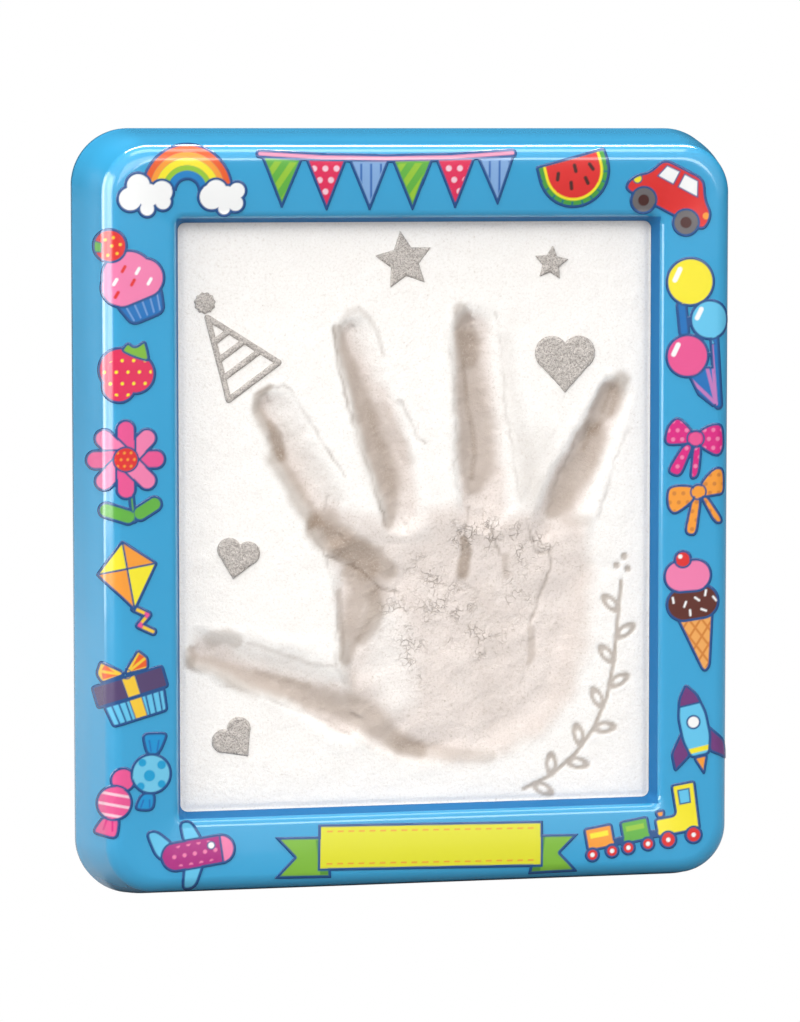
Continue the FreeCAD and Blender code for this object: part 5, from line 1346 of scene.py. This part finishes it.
def glitter(name, finish):
    """Card with a grainy front that rises from its outline by an S; a skirt joins it to a flat back."""
    outline, (centre_x, centre_z), radius, degrees = GLITTER_SHAPES[name]
    x, z, step = square_grid(radius * 1.35 + 1, GLITTER_GRID)
    far = outline(*turned(x, z, -degrees), radius)
    kept, used, x, z = cut_out(x, z, far, step)
    x, z = x + centre_x, z + centre_z
    grain = 0.5 * lumps(x, z, 0.42, 21) + 0.5 * lumps(x, z, 0.9, 22)
    rise = GLITTER * (0.78 + 0.2 * grain) * ease(-0.27, 0.5, -far)
    front = np.column_stack([x[used], (CLAY_PLANE - rise)[used], z[used]])
    back = front.copy()
    back[:, 1] = CLAY_PLANE
    faces, rim = cut_faces(kept, used)
    behind = len(front)
    skirt = np.column_stack([rim[:, 1], rim[:, 0], rim[:, 0] + behind, rim[:, 1] + behind])
    piece(name + "_card", np.vstack([front, back]), [faces, faces[:, ::-1] + behind, skirt], [finish], name)


# Finishes: colours in screen values, noise in lumps to the metre, relief in metres

def shell_plastic():
    """Gloss plastic with painted shade at the edge of the window: deeper in colour there, and duller."""
    made = Finish("blue_gloss", (56, 158, 205), 0.16, Coat_Weight=0.35, Coat_Roughness=0.06, IOR=1.5)
    recess_shade = made.channel(made.painted("recess_shade"))
    blue = made.mix(made.noise(28.0, 3.0), (56, 158, 205), (50, 152, 199))
    # Painted shade: a deeper blue at the edge of the window
    made.feed("Base Color", made.mix(recess_shade, blue, (30, 104, 160)))
    made.feed("Roughness", 0.15 + 0.05 * made.noise(90.0, 2.0) + 0.25 * recess_shade)
    made.bump(made.noise(160.0, 1.0), 0.00003)
    return made


def shaded_wall_plastic():
    """Etched wall of the window: the shell's blue without its gloss, painted darker as the shade in the
    recess.
    """
    # Painted shade: the wall's blue is darker than the shell's
    made = Finish("blue_etched_painted_shade", (34, 112, 168), 0.55, Specular_IOR_Level=0.12)
    made.feed("Base Color", made.mix(made.noise(40.0, 3.0), (37, 116, 172), (31, 106, 161)))
    made.feed("Roughness", 0.5 + 0.12 * made.noise(600.0, 2.0))
    made.bump(made.noise(2200.0, 2.0), 0.00003)
    return made


def matt_plastic(name, colour, roughness):
    """Moulded plastic with the fine texture of an etched mould."""
    made = Finish(name, colour, roughness, IOR=1.5)
    darker = tuple(value - 9 for value in colour)
    made.feed("Base Color", made.mix(made.noise(35.0, 3.0), colour, darker))
    made.feed("Roughness", roughness + 0.1 * made.noise(700.0, 2.0))
    made.bump(made.noise(2600.0, 2.0), 0.00005)
    return made


def pressed_clay():
    """White clay with specks and pits: a pinkish tint over the hand that is partly painted shade, taupe
    painted shade, crazed in places.
    """
    made = Finish("pressed_clay", (250, 247, 242), 0.9, Specular_IOR_Level=0.25)
    tone = made.painted("tone")
    shade, touched, cracked = [made.channel(tone, name) for name in ("Red", "Green", "Blue")]
    cloud = made.noise(130.0, 4.0, 0.6)
    speck = made.noise(1500.0, 3.0, 0.7)
    clay = made.mix(cloud, (250, 248, 245), (245, 241, 237))
    # Pinkish tint over the hand's grooves and palm, partly painted shade
    clay = made.mix(touched * (0.7 + 0.5 * cloud), clay, (228, 217, 211))
    # Taupe painted shade of the hand and under the lips, with the drawn sprig in the same taupe
    clay = made.mix(shade * (0.85 + 0.35 * cloud), clay, (142, 122, 104))
    line = made.channel(made.painted("crazed")) * crazing(made)
    clay = made.mix(line * 0.4, clay, (170, 150, 130))
    clay = made.mix(cracked, clay, (118, 100, 86))
    made.feed("Base Color", made.mix(speck ** 6 * 3.0 + touched * speck ** 6 * 4.0, clay, (196, 184, 172)))
    grain = made.noise(900.0, 4.0, 0.6) + 0.5 * made.noise(3200.0, 2.0)
    creased = touched * 0.5 * made.noise(700.0, 5.0, 0.7)
    made.bump(grain + creased - 1.6 * line, 0.00022)
    return made


def crazing(made):
    """Fine broken lines, 1 on a line and 0 off it: the edges of cells in bent coordinates, faded by noise."""
    where = {"Vector": made.place(), "Scale": 420.0, "Detail": 3.0}
    bend = made.node("ShaderNodeTexNoise", {}, where, "Color")
    small = made.node("ShaderNodeVectorMath", {"operation": "SCALE"}, {0: bend, "Scale": 0.004})
    bent = made.node("ShaderNodeVectorMath", {"operation": "ADD"}, {0: made.place(), 1: small})
    cells = {"Vector": bent, "Scale": 560.0}
    edge = made.node("ShaderNodeTexVoronoi", {"feature": "DISTANCE_TO_EDGE"}, cells)
    return made.fade(edge, 0.11, 0.02) * made.fade(made.noise(260.0, 3.0, at=bent), 0.42, 0.62)


def printed_vinyl():
    """Glossy printed sheet: its colours come with the points, a little dulled, and its gloss varies."""
    made = Finish("printed_vinyl", (255, 255, 255), 0.22, Coat_Weight=0.3, Coat_Roughness=0.08, IOR=1.5)
    made.feed("Base Color", made.mix(0.15, made.painted("ink"), (12, 14, 18)))
    made.feed("Roughness", 0.2 + 0.08 * made.noise(120.0, 2.0))
    made.bump(made.noise(220.0, 1.0), 0.00002)
    return made


def glitter_grey():
    """Silver-grey glitter: bright and dark grains on a dull card."""
    made = Finish("silver_glitter", (172, 167, 162), 0.5)
    grain = made.node("ShaderNodeTexVoronoi", {}, {"Vector": made.place(), "Scale": 3800.0}, "Color")
    spark = made.channel(grain)
    made.feed("Base Color", made.mix(spark, (142, 135, 129), (214, 207, 201)))
    made.feed("Metallic", 0.3 * spark.above(0.7))
    made.feed("Roughness", 0.45 + 0.35 * spark)
    made.bump(spark, 0.00007)
    return made


def steel():
    """Zinc-plated steel with fine rolled streaks."""
    made = Finish("zinc_steel", (176, 178, 182), 0.3, Metallic=1.0)
    streak = made.noise(1.0, 3.0, at=made.stretched(500.0, 500.0, 4000.0))
    made.feed("Base Color", made.mix(streak, (186, 188, 192), (150, 152, 156)))
    made.feed("Roughness", 0.22 + 0.2 * streak)
    return made


# Every piece with its finish

front_shell(shell_plastic(), shaded_wall_plastic())
clay_slab(pressed_clay())
vinyl = printed_vinyl()
for name in STICKERS:
    sticker(name, vinyl)
silver = glitter_grey()
for name in GLITTER_SHAPES:
    glitter(name, silver)

dress(matt_plastic("ring_blue", (58, 150, 205), 0.34), "rear_ring")
dress(matt_plastic("tray_white", (235, 234, 230), 0.42), "clay_tray")
dress(matt_plastic("cover_plastic", (60, 150, 205), 0.46), "back_cover", "easel_leg",
      *[f"turn_button_{n}" for n in range(1, 5)])
dress(steel(), "ring_screws", "leg_hinge_pin", "button_screws", "sawtooth_hanger", "hanger_screws")


# Studio: white floor and backdrop, soft boxes and the camera

FLOOR_REACH = 30.0
FLOOR_GREY = 0.26
# The way in which the room is brightest, the share along it where its light starts to rise and is full, and
# the colour of that light
BRIGHT_WAY = (-0.2, -0.87, 0.4)
DARK_UNTIL = -0.5
BRIGHT_FROM = 0.7
ROOM_COLOUR = (1.0, 0.99, 0.98, 1)

# The camera, fitted to the photographed edges: degrees round and up, metres away, lens and its shift
CAMERA_ROUND = -12.73
CAMERA_UP = 4.89
CAMERA_AWAY = 1.2596
CAMERA_LENS = 159.1
CAMERA_SHIFT = (-0.0226, 0.0056)


def way_out(azimuth, elevation):
    """Direction from the object at an azimuth, 0 in front and negative to the left, and an elevation."""
    a, e = math.radians(azimuth), math.radians(elevation)
    return Vector((math.sin(a) * math.cos(e), -math.cos(a) * math.cos(e), math.sin(e)))


def white_stage():
    """Floor that is white to the camera and mid grey to everything that it lights."""
    mesh = bpy.data.meshes.new("studio_floor")
    corners = [(x * FLOOR_REACH, y * FLOOR_REACH, 0) for x, y in ((-1, -1), (1, -1), (1, 1), (-1, 1))]
    mesh.from_pydata(corners, [], [(0, 1, 2, 3)])
    floor = bpy.data.objects.new("studio_floor", mesh)
    bpy.context.scene.collection.objects.link(floor)
    material = bpy.data.materials.new("studio_floor")
    material.use_nodes = True
    nodes, links = material.node_tree.nodes, material.node_tree.links
    nodes.clear()
    seen = nodes.new("ShaderNodeLightPath").outputs["Is Camera Ray"]
    glow = nodes.new("ShaderNodeEmission")
    plain = nodes.new("ShaderNodeBsdfDiffuse")
    plain.inputs["Color"].default_value = (FLOOR_GREY, FLOOR_GREY, FLOOR_GREY, 1)
    either = nodes.new("ShaderNodeMixShader")
    links.new(seen, either.inputs[0])
    links.new(plain.outputs[0], either.inputs[1])
    links.new(glow.outputs[0], either.inputs[2])
    links.new(either.outputs[0], nodes.new("ShaderNodeOutputMaterial").inputs["Surface"])
    mesh.materials.append(material)


def white_world(front, behind):
    """Backdrop that is white to the camera, and to the object a room that is brighter in front and above."""
    world = bpy.data.worlds.new("studio")
    bpy.context.scene.world = world
    world.use_nodes = True
    nodes, links = world.node_tree.nodes, world.node_tree.links
    nodes.clear()
    seen = nodes.new("ShaderNodeLightPath").outputs["Is Camera Ray"]
    way = nodes.new("ShaderNodeTexCoord").outputs["Generated"]
    towards = nodes.new("ShaderNodeVectorMath")
    towards.operation = "DOT_PRODUCT"
    towards.inputs[1].default_value = BRIGHT_WAY
    links.new(way, towards.inputs[0])
    spread = nodes.new("ShaderNodeMapRange")
    spread.interpolation_type = "SMOOTHSTEP"
    spread.inputs["From Min"].default_value = DARK_UNTIL
    spread.inputs["From Max"].default_value = BRIGHT_FROM
    spread.inputs["To Min"].default_value = behind
    spread.inputs["To Max"].default_value = front
    links.new(towards.outputs["Value"], spread.inputs["Value"])
    room = nodes.new("ShaderNodeBackground")
    room.inputs["Color"].default_value = ROOM_COLOUR
    links.new(spread.outputs["Result"], room.inputs["Strength"])
    white = nodes.new("ShaderNodeBackground")
    white.inputs["Color"].default_value = (1, 1, 1, 1)
    either = nodes.new("ShaderNodeMixShader")
    links.new(seen, either.inputs[0])
    links.new(room.outputs[0], either.inputs[1])
    links.new(white.outputs[0], either.inputs[2])
    links.new(either.outputs[0], nodes.new("ShaderNodeOutputWorld").inputs["Surface"])


def soft_box(name, azimuth, elevation, distance, width, height, power, gloss_only=False):
    """Area light that faces the middle of the frame; one that is for gloss only shows just in reflections."""
    away = way_out(azimuth, elevation)
    light = bpy.data.lights.new(name, "AREA")
    light.shape = "RECTANGLE"
    light.size, light.size_y = width, height
    light.energy = power
    obj = bpy.data.objects.new(name, light)
    obj.location = Vector((0, 0, MIDDLE * 0.001)) + away * distance
    obj.rotation_euler = (-away).to_track_quat("-Z", "Y").to_euler()
    obj.visible_diffuse = not gloss_only
    bpy.context.scene.collection.objects.link(obj)


def photo_camera():
    """Camera at the photograph's viewing angle: a little from the left and above."""
    back = way_out(CAMERA_ROUND, CAMERA_UP)
    right = Vector((-back.y, back.x, 0)).normalized()
    up = back.cross(right)
    camera = bpy.data.cameras.new("camera")
    camera.lens = CAMERA_LENS
    camera.shift_x, camera.shift_y = CAMERA_SHIFT
    camera.clip_start, camera.clip_end = 0.05, 100
    obj = bpy.data.objects.new("camera", camera)
    turn = Matrix((right, up, back)).transposed().to_4x4()
    spot = Vector((0, -ORIGIN_DEPTH * 0.001, MIDDLE * 0.001)) + back * CAMERA_AWAY
    obj.matrix_world = Matrix.Translation(spot) @ turn
    bpy.context.scene.collection.objects.link(obj)
    bpy.context.scene.camera = obj


white_stage()
white_world(1.2, 0.04)
# Degrees round and up, then metres away, wide and high, then watts
soft_box("front_box", -16, 30, 1.8, 1.2, 0.9, 11)
soft_box("left_panel", -74, 10, 1.4, 0.9, 1.0, 7)
soft_box("left_glow", -95, 2, 1.2, 1.5, 1.4, 32, gloss_only=True)
soft_box("left_strip", -127, 8, 0.8, 0.3, 0.5, 1.6)
soft_box("overhead_strip", -8, 125, 1.4, 1.3, 0.14, 18)
soft_box("top_glow", 16, 17, 1.5, 0.9, 0.4, 8, gloss_only=True)
soft_box("top_panel", -10, 84, 1.4, 1.2, 0.5, 9)
photo_camera()
bpy.context.scene.view_settings.view_transform = "Standard"
